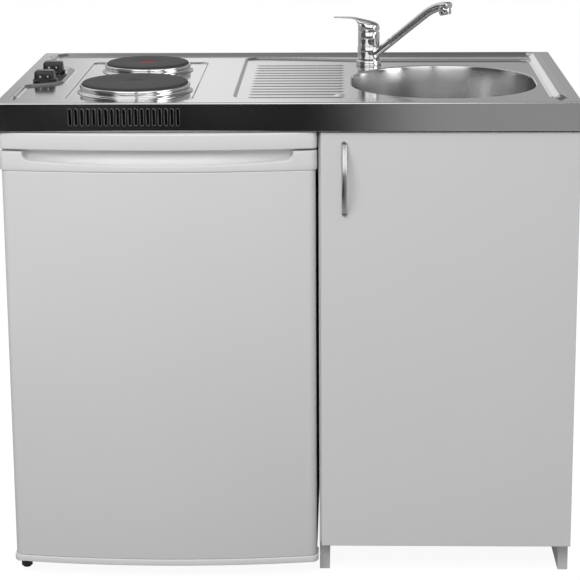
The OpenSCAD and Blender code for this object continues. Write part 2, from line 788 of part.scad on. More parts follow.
// Seal, clamp plate, stud and nut that hold the tap to the sheet
seal_z = -wet_drop - sheet_t - 5;
module tap_fixing() {
    low = seal_z;
    color(steel) unit() translate([tap_x, tap_y, worktop_h]) {
        translate([0, 0, low]) difference() {
            cylinder(d = 46, h = 5);
            translate([0, 0, -1]) cylinder(d = 34, h = 7);
        }
        difference() {
            translate([-20, -20, low - 3]) cube([40, 26, 3]);
            for (s = [-1, 1]) translate([s * 8, 0, low - 4]) cylinder(d = 10.6, h = 5);
            translate([0, -11, low - 4]) cylinder(d = 6 + 2 * run, h = 5);
        }
        translate([0, -11, -46]) cylinder(d = 6, h = 49);
        translate([0, -11, low - 9]) difference() {
            cylinder(d = 11, h = 6, $fn = 6);
            translate([0, 0, -1]) cylinder(d = 6 + 2 * run, h = 8);
        }
    }
}

// ---------- Cupboard ----------

pin_rows = [carcass_front + 60, carcass_end - 70];
shelf_t = 16;
shelf_pin_d = 5;

module side_panel(x, inner) {
    difference() {
        across(x, board_t) polygon([[toe_y, 0], [carcass_end, 0], [carcass_end, carcass_top],
            [carcass_front, carcass_top], [carcass_front, door_bottom], [toe_y, door_bottom]]);
        for (y = pin_rows) translate([inner, y, shelf_h - shelf_pin_d / 2]) rotate([0, 90, 0])
            cylinder(d = shelf_pin_d + 2 * run, h = 20, center = true);
    }
}

module side_panel_left() {
    color(white) unit() side_panel(bay_w, inner_left);
}

module side_panel_right() {
    color(white) unit() side_panel(inner_right, inner_right);
}

module bottom_panel() {
    color(white) unit() block(inner_left, carcass_front, door_bottom + 2, inner_right,
        carcass_end - 4, door_bottom + 2 + board_t);
}

// Thin back with an opening for the water and waste pipes
module back_panel() {
    color(white) unit() difference() {
        block(inner_left, carcass_end - 4, door_bottom + 2, inner_right, carcass_end, carcass_top);
        block(bowl_cx - 110, carcass_end - 10, outlet_z - 90, bowl_cx + 110, carcass_end + 10,
            outlet_z + 110);
    }
}

rail_h = 60;
module front_rail() {
    color(white) unit() block(inner_left, carcass_front + 1, carcass_top - rail_h, inner_right,
        carcass_front + 1 + board_t, carcass_top);
}

module rear_rail() {
    color(white) unit() block(inner_left, carcass_end - 4 - board_t, carcass_top - rail_h,
        inner_right, carcass_end - 4, carcass_top);
}

module shelf() {
    color(white) unit() block(inner_left + 0.5, carcass_front + 22, shelf_h, inner_right - 0.5,
        carcass_end - 6, shelf_h + shelf_t);
}

module shelf_pins() {
    color(steel) unit() for (y = pin_rows, x = [inner_left, inner_right])
        translate([x, y, shelf_h - shelf_pin_d / 2]) rotate([0, 90, 0])
            cylinder(d = shelf_pin_d, h = 18, center = true);
}

handle_x = door_x0 + 40.5;
handle_z = door_top - handle_drop;
handle_t = 5.3;
bow_r = (pow(handle_l / 2, 2) + pow(handle_out, 2)) / (2 * handle_out);
bow_y = door_set - handle_out + bow_r;
screw_dz = handle_l / 2 - 6.5;

module cupboard_door() {
    color(white) unit() difference() {
        block(door_x0, door_set, door_bottom, door_x1, door_y1, door_top);
        for (z = hinge_z) translate([cup_x, door_y1 - cup_depth, z]) rotate([-90, 0, 0])
            cylinder(d = cup_d, h = 20);
        for (s = [-1, 1]) translate([handle_x, 0, handle_z + s * screw_dz]) {
            rotate([-90, 0, 0]) cylinder(d = 5, h = 60);
            translate([0, door_y1 - 3.5, 0]) rotate([-90, 0, 0]) cylinder(d = 9.5, h = 10);
        }
    }
}

module bow_handle() {
    color(chrome) unit() difference() {
        union() {
            intersection() {
                translate([handle_x - handle_w / 2, bow_y, handle_z]) rotate([0, 90, 0])
                    difference() {
                        cylinder(r = bow_r, h = handle_w, $fn = 180);
                        translate([0, 0, -1])
                            cylinder(r = bow_r - handle_t, h = handle_w + 2, $fn = 180);
                    }
                block(handle_x - handle_w, door_set - handle_out - 1, handle_z - handle_l,
                    handle_x + handle_w, door_set, handle_z + handle_l);
            }
            for (s = [-1, 1]) translate([handle_x, door_set - 6, handle_z + s * screw_dz])
                rotate([-90, 0, 0]) cylinder(d = handle_w - 1, h = 6);
        }
        for (s = [-1, 1]) translate([handle_x, door_set - 3, handle_z + s * screw_dz])
            rotate([-90, 0, 0]) cylinder(d = 4 + 2 * run, h = 9);
    }
}

module handle_screws() {
    color(steel) unit() for (s = [-1, 1])
        translate([handle_x, 0, handle_z + s * screw_dz]) rotate([-90, 0, 0]) {
            translate([0, 0, door_set - 2.5]) cylinder(d = 4, h = board_t - 0.5);
            translate([0, 0, door_y1 - 3.5]) cylinder(d = 9, h = 2.5);
        }
}

// Hinge cups let into the door, with their flanges on its back
module hinge_cups() {
    color(steel) unit() for (z = hinge_z) translate([cup_x, 0, z]) difference() {
        union() {
            translate([0, door_y1 - cup_depth, 0]) rotate([-90, 0, 0])
                cylinder(d = cup_d - 0.1, h = cup_depth);
            translate([-14, door_y1, -26]) cube([cup_d / 2 + 14, 0.8, 52]);
        }
        translate([0, door_y1 - cup_depth + 1, 0]) rotate([-90, 0, 0])
            cylinder(d = cup_d - 1.6, h = 20);
    }
}

// Arms screwed to the side panel, each with a fork and a pivot pin for its link
fork_t = 2;
link_t = 8;
link_half = link_t / 2 + free;
module hinge_arms() {
    x = link_pivot[0];
    y = link_pivot[1];
    color(steel) unit() for (z = hinge_z) translate([0, 0, z]) difference() {
        union() {
            block(inner_right - 3, y + 14, -22, inner_right, y + 64, 22);
            block(x - 3, y + 8, -link_half - fork_t, inner_right - 2, y + 60, link_half + fork_t);
            for (s = [-1, 1]) translate([x, y, s * (link_half + fork_t / 2) - fork_t / 2]) {
                cylinder(r = 2.4, h = fork_t);
                translate([-2.4, 0, 0]) cube([4.8, 12, fork_t]);
            }
            translate([x, y, -link_half - 1]) cylinder(d = 2.6, h = 2 * link_half + 2);
        }
        block(x + 3, y + 7, -link_half, inner_right - 5, y + 30, link_half);
        block(x - 4, y + 7, -link_half, x + 4, y + 24, link_half);
    }
}

// Links that reach from the arms into the cups
module hinge_links() {
    color(steel) unit() for (z = hinge_z) translate([link_pivot[0], link_pivot[1], z - link_t / 2])
        rotate(link_angle) difference() {
            union() {
                cylinder(d = 4.8, h = link_t);
                translate([0, -1.25, 0]) cube([link_l, 2.5, link_t]);
                translate([link_l, 0, 0]) cylinder(d = 4, h = link_t);
            }
            translate([0, 0, -1]) cylinder(d = 2.6 + 2 * run, h = link_t + 2);
        }
}

// ---------- Refrigerator ----------

// How far back the bowed front lies at a place along its width
function front_y(x) = door_set - bulge + bulge_r - sqrt(pow(bulge_r, 2) - pow(x - fridge_mid, 2));

// The bowed outline of a front part, between two ends and back to a straight line
module bowed(x0, x1, y_back, back_off, r_edge) {
    corner_y = front_y(x0 + r_edge) + back_off + r_edge;
    intersection() {
        translate([fridge_mid, door_set - bulge + bulge_r + back_off]) circle(bulge_r, $fn = 720);
        union() {
            translate([x0, corner_y]) square([x1 - x0, y_back - corner_y]);
            translate([x0 + r_edge, door_set - bulge - 5])
                square([x1 - x0 - 2 * r_edge, y_back - door_set + bulge + 5]);
            for (x = [x0 + r_edge, x1 - r_edge]) translate([x, corner_y]) circle(r_edge);
        }
    }
}

module fridge_case() {
    color(white) unit() difference() {
        block(case_x0, case_y0, case_z0, case_x1, case_y1, fridge_top);
        block(cavity_x0 - liner_t, case_y0 - 1, cavity_z0 - liner_t, cavity_x1 + liner_t,
            hump_y + liner_t, hump_z);
        block(cavity_x0 - liner_t, case_y0 - 1, hump_z - liner_t, cavity_x1 + liner_t,
            cavity_y1 + liner_t, cavity_z1 + liner_t);
        block(case_x0 + 12, case_y1 - recess_d, case_z0 - 1, case_x1 - 12, case_y1 + 1,
            case_z0 + recess_h);
    }
}

// The white plastic inside, stepped over the compressor
module fridge_liner() {
    color(plastic) unit() difference() {
        union() {
            block(cavity_x0 - liner_t, case_y0, cavity_z0 - liner_t, cavity_x1 + liner_t,
                hump_y + liner_t, hump_z);
            block(cavity_x0 - liner_t, case_y0, hump_z - liner_t, cavity_x1 + liner_t,
                cavity_y1 + liner_t, cavity_z1 + liner_t);
        }
        block(cavity_x0, case_y0 - 1, cavity_z0, cavity_x1, hump_y, hump_z + 5);
        block(cavity_x0, case_y0 - 1, hump_z, cavity_x1, cavity_y1, cavity_z1);
    }
    color(plastic) unit() translate([cavity_x1 + eps, dial_y, dial_z]) rotate([0, -90, 0])
        cylinder(d = pin_d, h = 9);
}

module fridge_fascia() {
    color(white) unit() difference() {
        translate([0, 0, fascia_z]) linear_extrude(fascia_h)
            bowed(fridge_x0, fridge_x1, case_y0, 0, 12);
        block(fridge_x0 + 3, door_set + 6, fascia_z - 1, fridge_x1 - 3, case_y0 + 1,
            fridge_top - 3);
    }
}

module door_bores(z0, z1) {
    translate([fhinge_x, fhinge_y, z0]) cylinder(d = pin_d + 2 * run, h = z1 - z0);
}

// The pressed door skin with its foam core
module fridge_door_panel() {
    color(white) unit() translate([0, 0, trim_z + trim_h])
        linear_extrude(strip_z - trim_z - trim_h)
            bowed(case_x0, case_x1, fdoor_y1, 1, 14);
}

dyke = 22;
module fridge_door_liner() {
    x0 = cavity_x0 + 7;
    x1 = cavity_x1 - 7;
    z0 = cavity_z0 + 8;
    z1 = min(cavity_z1 - 12, strip_z - 6);
    color(plastic) unit() {
        difference() {
            block(x0, fdoor_y1, z0, x1, fdoor_y1 + dyke, z1);
            block(x0 + 22, fdoor_y1 + 2, z0 + 22, x1 - 22, fdoor_y1 + dyke + 1, z1 - 22);
        }
    }
}

module fridge_gasket() {
    z0 = trim_z + 6;
    z1 = strip_top - 4;
    color("#d9dadb") unit() difference() {
        block(fhinge_x + 1, fdoor_y1, z0, case_x1 - 8, case_y0 - free, z1);
        block(cavity_x0 + 5, fdoor_y1 - 1, cavity_z0 + 6, cavity_x1 - 5, case_y0,
            cavity_z1 - 10);
    }
}

// The moulded strip on top of the door, with a smile-shaped finger recess
recess_in = 41;
recess_low = 23;
recess_sag = 8.5;
module finger_recess() {
    half = fridge_w / 2 - recess_in;
    r = (pow(half, 2) + pow(recess_sag, 2)) / (2 * recess_sag);
    intersection() {
        translate([fridge_mid, 0, strip_top - recess_low + r]) rotate([90, 0, 0])
            cylinder(r = r, h = 200, center = true, $fn = 720);
        block(fridge_x0 + recess_in, door_set - bulge - 10, strip_z, fridge_x1 - recess_in,
            door_set + 8, strip_top + 5);
    }
}

module fridge_handle_strip() {
    color(white) unit() difference() {
        translate([0, 0, strip_z]) linear_extrude(strip_h)
            bowed(fridge_x0, fridge_x1, fdoor_y1, 0, 14);
        finger_recess();
        door_bores(strip_top - 14, strip_top + 1);
    }
}

module fridge_bottom_trim() {
    color(white) unit() difference() {
        translate([0, 0, trim_z]) linear_extrude(trim_h)
            bowed(fridge_x0, fridge_x1, fdoor_y1, 0, 14);
        door_bores(trim_z - 1, trim_z + trim_h + 1);
    }
}

// Open-topped racks on the door's inside
rack_z = [cavity_z0 + 36, cavity_z0 + 230, cavity_z0 + 400];
rack_out = 62;
module door_racks() {
    x0 = cavity_x0 + 7 + 22;
    x1 = cavity_x1 - 7 - 22;
    y0 = fdoor_y1 + 2;
    color("#dfe6ea") unit() for (z = rack_z) difference() {
        block(x0, y0, z, x1, y0 + dyke + rack_out, z + 52);
        block(x0 + 2.5, y0 + 2.5, z + 2.5, x1 - 2.5, y0 + dyke + rack_out - 2.5, z + 60);
    }
}

module hinge_bracket_upper() {
    color(steel) unit() {
        block(fhinge_x - 9, fhinge_y - 9, strip_top + free, fhinge_x + 26, case_y0, fascia_z);
        translate([fhinge_x, fhinge_y, strip_top - 12]) cylinder(d = pin_d, h = 13);
    }
}

module hinge_bracket_lower() {
    color(black) unit() {
        block(fhinge_x - 9, fhinge_y - 9, case_z0 - 3, fhinge_x + 40, case_y0 + 60, case_z0);
        translate([fhinge_x, fhinge_y, case_z0 - 3]) cylinder(d = pin_d, h = trim_z - case_z0 + 3 + 9);
    }
}

// A screw foot: a tapered shoe under a short threaded stem
module foot(x, y, top) {
    translate([x, y, 0]) {
        cylinder(r = 7, h = 3);
        translate([0, 0, 3]) cylinder(r = 10, h = 9);
        cylinder(r = 4, h = top);
    }
}

module fridge_feet() {
    color(black) unit() {
        foot(fhinge_x + 1, case_y0 - 4, case_z0 - 3);
        foot(case_x1 - 24, case_y0 + 45, case_z0);
        for (x = [case_x0 + 6, case_x1 - 6]) foot(x + (x < fridge_mid ? 6 : -6), case_y1 - 20, case_z0);
    }
}

// Ice compartment at the top, and the flap that hangs before it from pins in its sides
freezer_z = cavity_z1 - 135;
freezer_y = case_y0 + 152;
flap_t = 6;
flap_pin = [freezer_y - 5, cavity_z1 - 7];
module freezer_box() {
    color(plastic) unit() {
        difference() {
            block(cavity_x0, freezer_y, freezer_z, cavity_x1, cavity_y1, cavity_z1);
            block(cavity_x0 + 4, freezer_y - 1, freezer_z + 4, cavity_x1 - 4, cavity_y1 - 4,
                cavity_z1 - 4);
        }
        for (x = [cavity_x0, cavity_x1 - 3]) block(x, freezer_y - 10, cavity_z1 - 20, x + 3,
            freezer_y + 1, cavity_z1);
        for (x = [cavity_x0 + 2, cavity_x1 - 12]) translate([x, flap_pin[0], flap_pin[1]])
            rotate([0, 90, 0]) cylinder(d = 4, h = 10);
    }
}

module freezer_flap() {
    x0 = cavity_x0 + 3 + free;
    x1 = cavity_x1 - 3 - free;
    color(plastic) unit() difference() {
        union() {
            block(x0, freezer_y - 8, freezer_z + 4, x1, freezer_y - 8 + flap_t, flap_pin[1]);
            translate([x0, flap_pin[0], flap_pin[1]]) rotate([0, 90, 0]) cylinder(d = flap_t, h = x1 - x0);
            block(x0 + 190, freezer_y - 14, freezer_z + 8, x1 - 190, freezer_y - 7, freezer_z + 16);
        }
        translate([cavity_x0 - 5, flap_pin[0], flap_pin[1]]) rotate([0, 90, 0])
            cylinder(d = 4 + 2 * run, h = 18);
        translate([cavity_x1 - 13, flap_pin[0], flap_pin[1]]) rotate([0, 90, 0])
            cylinder(d = 4 + 2 * run, h = 18);
    }
}

shelf_front = case_y0 + 92;
cover_z = hump_z + 4;
module fridge_shelves() {
    upper_z = (cover_z + freezer_z) / 2;
    color("#cfe3e6") unit() {
        block(cavity_x0, shelf_front, upper_z, cavity_x1, cavity_y1, upper_z + 4);
        block(cavity_x0, shelf_front, hump_z, cavity_x1, cavity_y1, cover_z);
    }
}

module crisper() {
    y0 = shelf_front + 4;
    y1 = hump_y - 6;
    color("#dce9ec") unit() difference() {
        block(cavity_x0 + 6, y0, cavity_z0, cavity_x1 - 6, y1, hump_z - 4);
        block(cavity_x0 + 9, y0 + 3, cavity_z0 + 3, cavity_x1 - 9, y1 - 3, hump_z);
    }
}

// Thermostat dial, turning on a stub in the liner's right wall
dial_y = case_y0 + 190;
dial_z = freezer_z - 55;
module thermostat_dial() {
    color(white) unit() translate([cavity_x1, dial_y, dial_z]) rotate([0, -90, 0]) {
        difference() {
            union() {
                translate([0, 0, free]) cylinder(d = 34, h = 12);
                translate([-3, -15, 10]) cube([6, 30, 8]);
            }
            cylinder(d = pin_d + 2 * run, h = 9.5);
        }
    }
}

compressor_y = case_y1 - can_r - 10;
can_h = 134;
module compressor() {
    base = case_z0 + 2;
    color(black) unit() {
        block(case_x0 + 12, case_y1 - recess_d + 2, case_z0, case_x1 - 12, case_y1, base);
        translate([fridge_mid, compressor_y, base]) {
            for (x = [-80, 80], y = [-40, 40]) translate([x, y, 0]) cylinder(d = 18, h = 14);
            block(-92, -50, 14, 92, 50, 17);
            translate([0, 0, 17]) rotate_extrude() polygon([[0, 0], [can_r - 8, 0], [can_r, 10],
                [can_r, can_h - 34], [can_r - 10, can_h - 14], [can_r - 34, can_h], [0, can_h]]);
            translate([can_r - 6, -24, 50]) cube([34, 48, 56]);
        }
    }
}

// Wire condenser: one tube up the back in level runs, with upright wires across it
run_count = 11;
run_pitch = 46;
condenser_y = case_y1 + 16;
module condenser() {
    x0 = case_x0 + 50;
    x1 = case_x1 - 50;
    z0 = hump_z + 20;
    wires = 22;
    color(black) unit() {
        for (i = [0:run_count - 1]) {
            z = z0 + i * run_pitch;
            rod([x0, condenser_y, z], [x1, condenser_y, z], 5);
            if (i < run_count - 1) translate([i % 2 == 0 ? x1 : x0, condenser_y, z + run_pitch / 2])
                rotate([90, 0, 0]) rotate(i % 2 == 0 ? -90 : 90)
                    rotate_extrude(angle = 180) translate([run_pitch / 2, 0]) circle(d = 5, $fn = 24);
        }
        for (k = [0:wires - 1]) {
            x = x0 + 8 + k * (x1 - x0 - 16) / (wires - 1);
            translate([x - 0.9, condenser_y + 1.8, z0 - 8])
                cube([1.8, 1.8, (run_count - 1) * run_pitch + 16]);
        }
        for (x = [x0 + 30, x1 - 40], i = [0, run_count - 1])
            block(x, case_y1, z0 + i * run_pitch - 5, x + 10, condenser_y, z0 + i * run_pitch + 5);
    }
}

worktop_sheet();
sink_bowl();
worktop_battens();
hotplate_front();
hotplate_rear();
spill_ring_front();
spill_ring_rear();
hob_tray();
hotplate_clamps();
regulator_front();
regulator_rear();
knob_front();
knob_rear();
hob_terminal_box();
strainer_flange();
strainer_basket();
waste_cup();
overflow_rosette();
overflow_pipe();
bottle_trap();
waste_pipe();
tap_body();
tap_spout();
tap_aerator();
tap_stem();
tap_lever();
tap_fixing();
side_panel_left();
side_panel_right();
bottom_panel();
back_panel();
front_rail();
rear_rail();
shelf();
shelf_pins();
cupboard_door();
bow_handle();
handle_screws();
hinge_cups();
hinge_arms();
hinge_links();
fridge_case();
fridge_liner();
fridge_fascia();
fridge_door_panel();
fridge_door_liner();
fridge_gasket();
fridge_handle_strip();
fridge_bottom_trim();
door_racks();
hinge_bracket_upper();
hinge_bracket_lower();
fridge_feet();
freezer_box();
freezer_flap();
fridge_shelves();
crisper();
thermostat_dial();
compressor();
condenser();
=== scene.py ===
"""Looks of the kitchenette unit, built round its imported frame.

Places are written as on the part's drawing: millimetres from the worktop's front left corner,
on the floor, x to the right, y to the back and z up. to_frame() turns them into the frame's metres.
"""
import json
from math import acos, cos, degrees, hypot, pi, radians, sin, sqrt

import bmesh
import bpy
from mathutils import Matrix, Vector


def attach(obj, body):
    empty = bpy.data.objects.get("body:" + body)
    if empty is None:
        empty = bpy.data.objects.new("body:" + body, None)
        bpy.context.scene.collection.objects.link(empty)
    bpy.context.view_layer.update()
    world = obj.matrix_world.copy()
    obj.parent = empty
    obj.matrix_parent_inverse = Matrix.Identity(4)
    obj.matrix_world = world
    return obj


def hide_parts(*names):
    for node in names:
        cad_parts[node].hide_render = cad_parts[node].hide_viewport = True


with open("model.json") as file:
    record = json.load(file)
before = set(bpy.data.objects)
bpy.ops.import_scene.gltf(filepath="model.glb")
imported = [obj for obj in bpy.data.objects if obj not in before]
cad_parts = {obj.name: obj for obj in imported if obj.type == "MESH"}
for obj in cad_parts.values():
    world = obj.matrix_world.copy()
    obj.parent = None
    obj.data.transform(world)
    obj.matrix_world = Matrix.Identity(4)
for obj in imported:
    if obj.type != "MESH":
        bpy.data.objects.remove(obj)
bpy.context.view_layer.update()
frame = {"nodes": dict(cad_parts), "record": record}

# ---------- Sizes shared with the part's drawing ----------

MID_X, MID_Y = 500, 290.5                                # the frame's origin, on the floor
WORKTOP_W, WORKTOP_D, WORKTOP_H, APRON_H = 1000, 600, 865, 50
SHEET = 1
WET_LEVEL, HOB_LEVEL = 862, 863
BOWL, BOWL_R = (610, 60, 940, 440), 160                  # x0, y0, x1, y1, and the corners' radius
PLATES = (("front", 227, 141, 94), ("rear", 227, 376, 77))  # name, x, y, radius
KNOBS = (("front", 53, 235), ("rear", 53, 345))          # name, x, y
TAP_X, TAP_Y = 643, 460
FRIDGE_MID, FRIDGE_HALF = 276.5, 273.5
BULGE, BULGE_Y = 22, -15                                 # how far the fridge's front bows, and to where
BULGE_R = (FRIDGE_HALF ** 2 + BULGE ** 2) / (2 * BULGE)


def to_frame(point):
    x, y, z = point
    return Vector(((x - MID_X) / 1000, (y - MID_Y) / 1000, z / 1000))


def blend_of(a, b, share):
    return a + (b - a) * share


def ease(low, high, value):
    """0 below low, 1 above high, and a soft step between them."""
    t = min(max((value - low) / (high - low), 0), 1)
    return t * t * (3 - 2 * t)


def steps(low, high, count):
    return [blend_of(low, high, i / count) for i in range(count + 1)]


def stretches(*stops):
    """Places from stop to stop. Each stop is (where it starts, about how far apart its places are)."""
    places = []
    for (start, pitch), (end, _) in zip(stops, stops[1:]):
        places += steps(start, end, max(round((end - start) / pitch), 1))[:-1]
    return places + [stops[-1][0]]


def follow(table, x):
    """A smooth curve through (x, value) pairs in rising x."""
    i = 0
    while i < len(table) - 2 and x > table[i + 1][0]:
        i += 1
    (x0, v0), (x1, v1) = table[i], table[i + 1]
    before, after = table[max(i - 1, 0)], table[min(i + 2, len(table) - 1)]
    h = x1 - x0
    m0, m1 = h * (v1 - before[1]) / (x1 - before[0]), h * (after[1] - v0) / (after[0] - x0)
    t = (x - x0) / h
    return (v0 * (2 * t ** 3 - 3 * t ** 2 + 1) + m0 * (t ** 3 - 2 * t ** 2 + t)
            + v1 * (3 * t ** 2 - 2 * t ** 3) + m1 * (t ** 3 - t ** 2))


# ---------- Mesh helpers ----------


class Shape:
    """Points in millimetres, and faces that name them."""

    def __init__(self):
        self.points, self.faces = [], []

    def add(self, points, faces):
        base = len(self.points)
        self.points += [tuple(p) for p in points]
        self.faces += [[base + i for i in face] for face in faces]
        return self

    def join(self, other):
        return self.add(other.points, other.faces)

    def loft(self, rings, caps=(True, True), closed=False):
        """Skins rings of equally many points, each a closed outline in space."""
        n, m = len(rings[0]), len(rings)
        faces = []
        for r in range(m if closed else m - 1):
            here, there = r * n, (r + 1) % m * n
            faces += [(here + i, here + (i + 1) % n, there + (i + 1) % n, there + i) for i in range(n)]
        if not closed:
            faces += [range(n - 1, -1, -1)] * caps[0]
            faces += [range((m - 1) * n, m * n)] * caps[1]
        return self.add([p for ring in rings for p in ring], faces)

    def lathe(self, profile, centre, axis="z", count=72, closed=False):
        """Turns (radius, height) pairs round an axis through centre. Radius 0 ends in a small cap."""
        rings = []
        for radius, height in profile:
            ring = []
            for i in range(count):
                a = 2 * pi * i / count
                u, v = max(radius, 0.02) * cos(a), max(radius, 0.02) * sin(a)
                offset = {"z": (u, v, height), "y": (v, height, u), "x": (height, u, v)}[axis]
                ring.append(Vector(centre) + Vector(offset))
            rings.append(ring)
        return self.loft(rings, closed=closed)

    def mesh(self, name):
        mesh = bpy.data.meshes.new(name)
        mesh.from_pydata([to_frame(p) for p in self.points], [], [list(f) for f in self.faces])
        work = bmesh.new()
        work.from_mesh(mesh)
        bmesh.ops.recalc_face_normals(work, faces=work.faces)
        work.to_mesh(mesh)
        work.free()
        return mesh


def shade(mesh, angle=32):
    mesh.polygons.foreach_set("use_smooth", [True] * len(mesh.polygons))
    mesh.set_sharp_from_angle(angle=radians(angle))


def show(name, shape, finish, body, slot, *nodes, angle=32):
    """Makes a piece that rides on a body, with the given finish, in place of CAD nodes. The slot is not used.
    """
    mesh = shape.mesh(name)
    shade(mesh, angle)
    piece = bpy.data.objects.new(name, mesh)
    bpy.context.scene.collection.objects.link(piece)
    mesh.materials.append(finish)
    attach(piece, body)
    if nodes:
        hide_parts(*nodes)
    return piece


def cut(shape, cutter):
    """The shape less the cutter, as a new shape."""
    objects = []
    for part in (shape, cutter):
        thing = bpy.data.objects.new("cutting", part.mesh("cutting"))
        bpy.context.scene.collection.objects.link(thing)
        objects.append(thing)
    change = objects[0].modifiers.new("cut", "BOOLEAN")
    change.object, change.operation, change.solver = objects[1], "DIFFERENCE", "EXACT"
    result = objects[0].evaluated_get(bpy.context.evaluated_depsgraph_get()).to_mesh()
    left = Shape().add(
        [(v.co.x * 1000 + MID_X, v.co.y * 1000 + MID_Y, v.co.z * 1000) for v in result.vertices],
        [list(p.vertices) for p in result.polygons])
    for thing in objects:
        mesh = thing.data
        bpy.data.objects.remove(thing)
        bpy.data.meshes.remove(mesh)
    return left


def round_area(x0, y0, x1, y1, r, count=12):
    """A rectangle with round corners, anticlockwise, with count steps to a corner."""
    r = max(r, 0.05)
    corners = ((x1 - r, y0 + r, -90), (x1 - r, y1 - r, 0), (x0 + r, y1 - r, 90), (x0 + r, y0 + r, 180))
    return [(cx + r * cos(radians(a)), cy + r * sin(radians(a)))
            for cx, cy, first in corners for a in steps(first, first + 90, count)]


def inset(outline, d):
    """An anticlockwise outline moved inwards by d at every point."""
    moved, n = [], len(outline)
    for i in range(n):
        here = Vector(outline[i])
        before = (here - Vector(outline[i - 1])).normalized()
        after = (Vector(outline[(i + 1) % n]) - here).normalized()
        left = Vector((-before.y, before.x)) + Vector((-after.y, after.x))
        moved.append(tuple(here + left * (d / max(1 + before.dot(after), 0.3))))
    return moved


def held(outline, d=1.0):
    """Adds a point near each end of every long side, so that its shading stays flat."""
    out = []
    for i, point in enumerate(outline):
        here, there = Vector(point), Vector(outline[(i + 1) % len(outline)])
        out.append(tuple(here))
        if (there - here).length > 8 * d:
            along = (there - here).normalized() * d
            out += [tuple(here + along), tuple(there - along)]
    return out


def slab(outline, low, high, place, edge=1.0, count=3):
    """A plate of a given outline between two levels, with rounded edges. place(u, v, level) -> point."""
    outline = held(outline, 2 * edge + 1)
    rings = [(edge + 0.8, low)]
    for k in range(count + 1):
        a = pi / 2 * k / count
        rings.append((edge * (1 - sin(a)), low + edge * (1 - cos(a))))
    rings += [(d, low + high - level) for d, level in reversed(rings)]
    return Shape().loft([[place(u, v, level) for u, v in inset(outline, d)] for d, level in rings])


def flat_on_z(u, v, level):
    return (u, v, level)


def flat_on_x(u, v, level):
    return (level, u, v)


def flat_on_y(u, v, level):
    return (u, level, v)


def sweep(path, section, up=Vector((0, 0, 1))):
    """Carries section(share of the path) -> outline in (side, up) along a path of points."""
    rings = []
    for i, point in enumerate(path):
        ahead = (Vector(path[min(i + 1, len(path) - 1)]) - Vector(path[max(i - 1, 0)])).normalized()
        side = ahead.cross(up).normalized()
        top = side.cross(ahead)
        rings.append([Vector(point) + side * u + top * v for u, v in section(i / (len(path) - 1))])
    return Shape().loft(rings)


def rounded(w, h, power=2.0, count=24):
    """A closed curve between a rectangle and an ellipse: power 2 is an ellipse, more is squarer."""
    ring = []
    for i in range(count):
        a = 2 * pi * i / count
        c, s = cos(a), sin(a)
        ring.append((w * (abs(c) ** (2 / power)) * (1 if c >= 0 else -1),
                     h * (abs(s) ** (2 / power)) * (1 if s >= 0 else -1)))
    return ring


# ---------- Shader helpers ----------


class Value:
    """A socket that can be used in sums."""

    def __init__(self, finish, socket):
        self.finish, self.socket = finish, socket

    def math(self, kind, *terms):
        return self.finish.node("ShaderNodeMath", {"operation": kind}, dict(enumerate(terms)))

    def __add__(self, other):
        return self.math("ADD", self, other)

    def __sub__(self, other):
        return self.math("SUBTRACT", self, other)

    def __mul__(self, other):
        return self.math("MULTIPLY", self, other)

    def __rsub__(self, other):
        return self.math("SUBTRACT", other, self)

    __radd__, __rmul__ = __add__, __mul__

    def size(self):
        return self.math("ABSOLUTE", self)

    def root(self):
        return self.math("SQRT", self)

    def soft(self, low, high):
        """0 up to low and 1 from high, with a soft step between."""
        return self.finish.node("ShaderNodeMapRange", {"interpolation_type": "SMOOTHSTEP"},
                                {"Value": self, "From Min": low, "From Max": high})


class Finish:
    """A node tree for a material or the world."""

    def __init__(self, owner):
        self.owner, self.tree = owner, owner.node_tree
        self.tree.nodes.clear()

    def node(self, kind, settings=None, inputs=None, output=0):
        made = self.tree.nodes.new(kind)
        for key, value in (settings or {}).items():
            setattr(made, key, value)
        for key, value in (inputs or {}).items():
            if isinstance(value, Value):
                self.tree.links.new(value.socket, made.inputs[key])
            else:
                made.inputs[key].default_value = value
        return Value(self, made.outputs[output])

    def place(self, output="Object"):
        return self.node("ShaderNodeTexCoord", output=output)

    def parts(self, vector):
        return [self.node("ShaderNodeSeparateXYZ", inputs={0: vector}, output=i) for i in range(3)]

    def noise(self, scale, detail=3, stretch=(1, 1, 1), rough=0.5):
        where = self.node("ShaderNodeMapping", inputs={"Vector": self.place(), "Scale": stretch})
        return self.node("ShaderNodeTexNoise", inputs={
            "Vector": where, "Scale": scale, "Detail": detail, "Roughness": rough})

    def mix(self, share, a, b):
        return self.node("ShaderNodeMix", {"data_type": "RGBA"}, {0: share, 6: a, 7: b}, output=2)

    def bump(self, height, strength, distance):
        return self.node("ShaderNodeBump", inputs={
            "Height": height, "Strength": strength, "Distance": distance})

    def by_ray(self, plain, mirror, direct):
        """Plain for diffuse light, mirror in reflections, direct to the camera and through glass."""
        camera, glossy, through = [self.node("ShaderNodeLightPath", output=name) for name in
                                   ("Is Camera Ray", "Is Glossy Ray", "Is Transmission Ray")]
        seen = self.node("ShaderNodeMath", {"operation": "MAXIMUM"}, {0: camera, 1: through})
        around = self.node("ShaderNodeMixShader", inputs={0: glossy, 1: plain, 2: mirror})
        return self.node("ShaderNodeMixShader", inputs={0: seen, 1: around, 2: direct})

    def surface(self, **sockets):
        names = {name.replace("_", " "): value for name, value in sockets.items()}
        return self.end(self.node("ShaderNodeBsdfPrincipled", inputs=names))

    def end(self, shader, kind="ShaderNodeOutputMaterial"):
        """Sends the shader to the output; returns the material or world."""
        made = self.tree.nodes.new(kind)
        self.tree.links.new(shader.socket, made.inputs["Surface"])
        return self.owner


def grey(value, tint=(1, 1, 1)):
    return (value * tint[0], value * tint[1], value * tint[2], 1)


def new_finish(name):
    material = bpy.data.materials.new(name)
    material.use_nodes = True
    return Finish(material)


# ---------- Finishes ----------


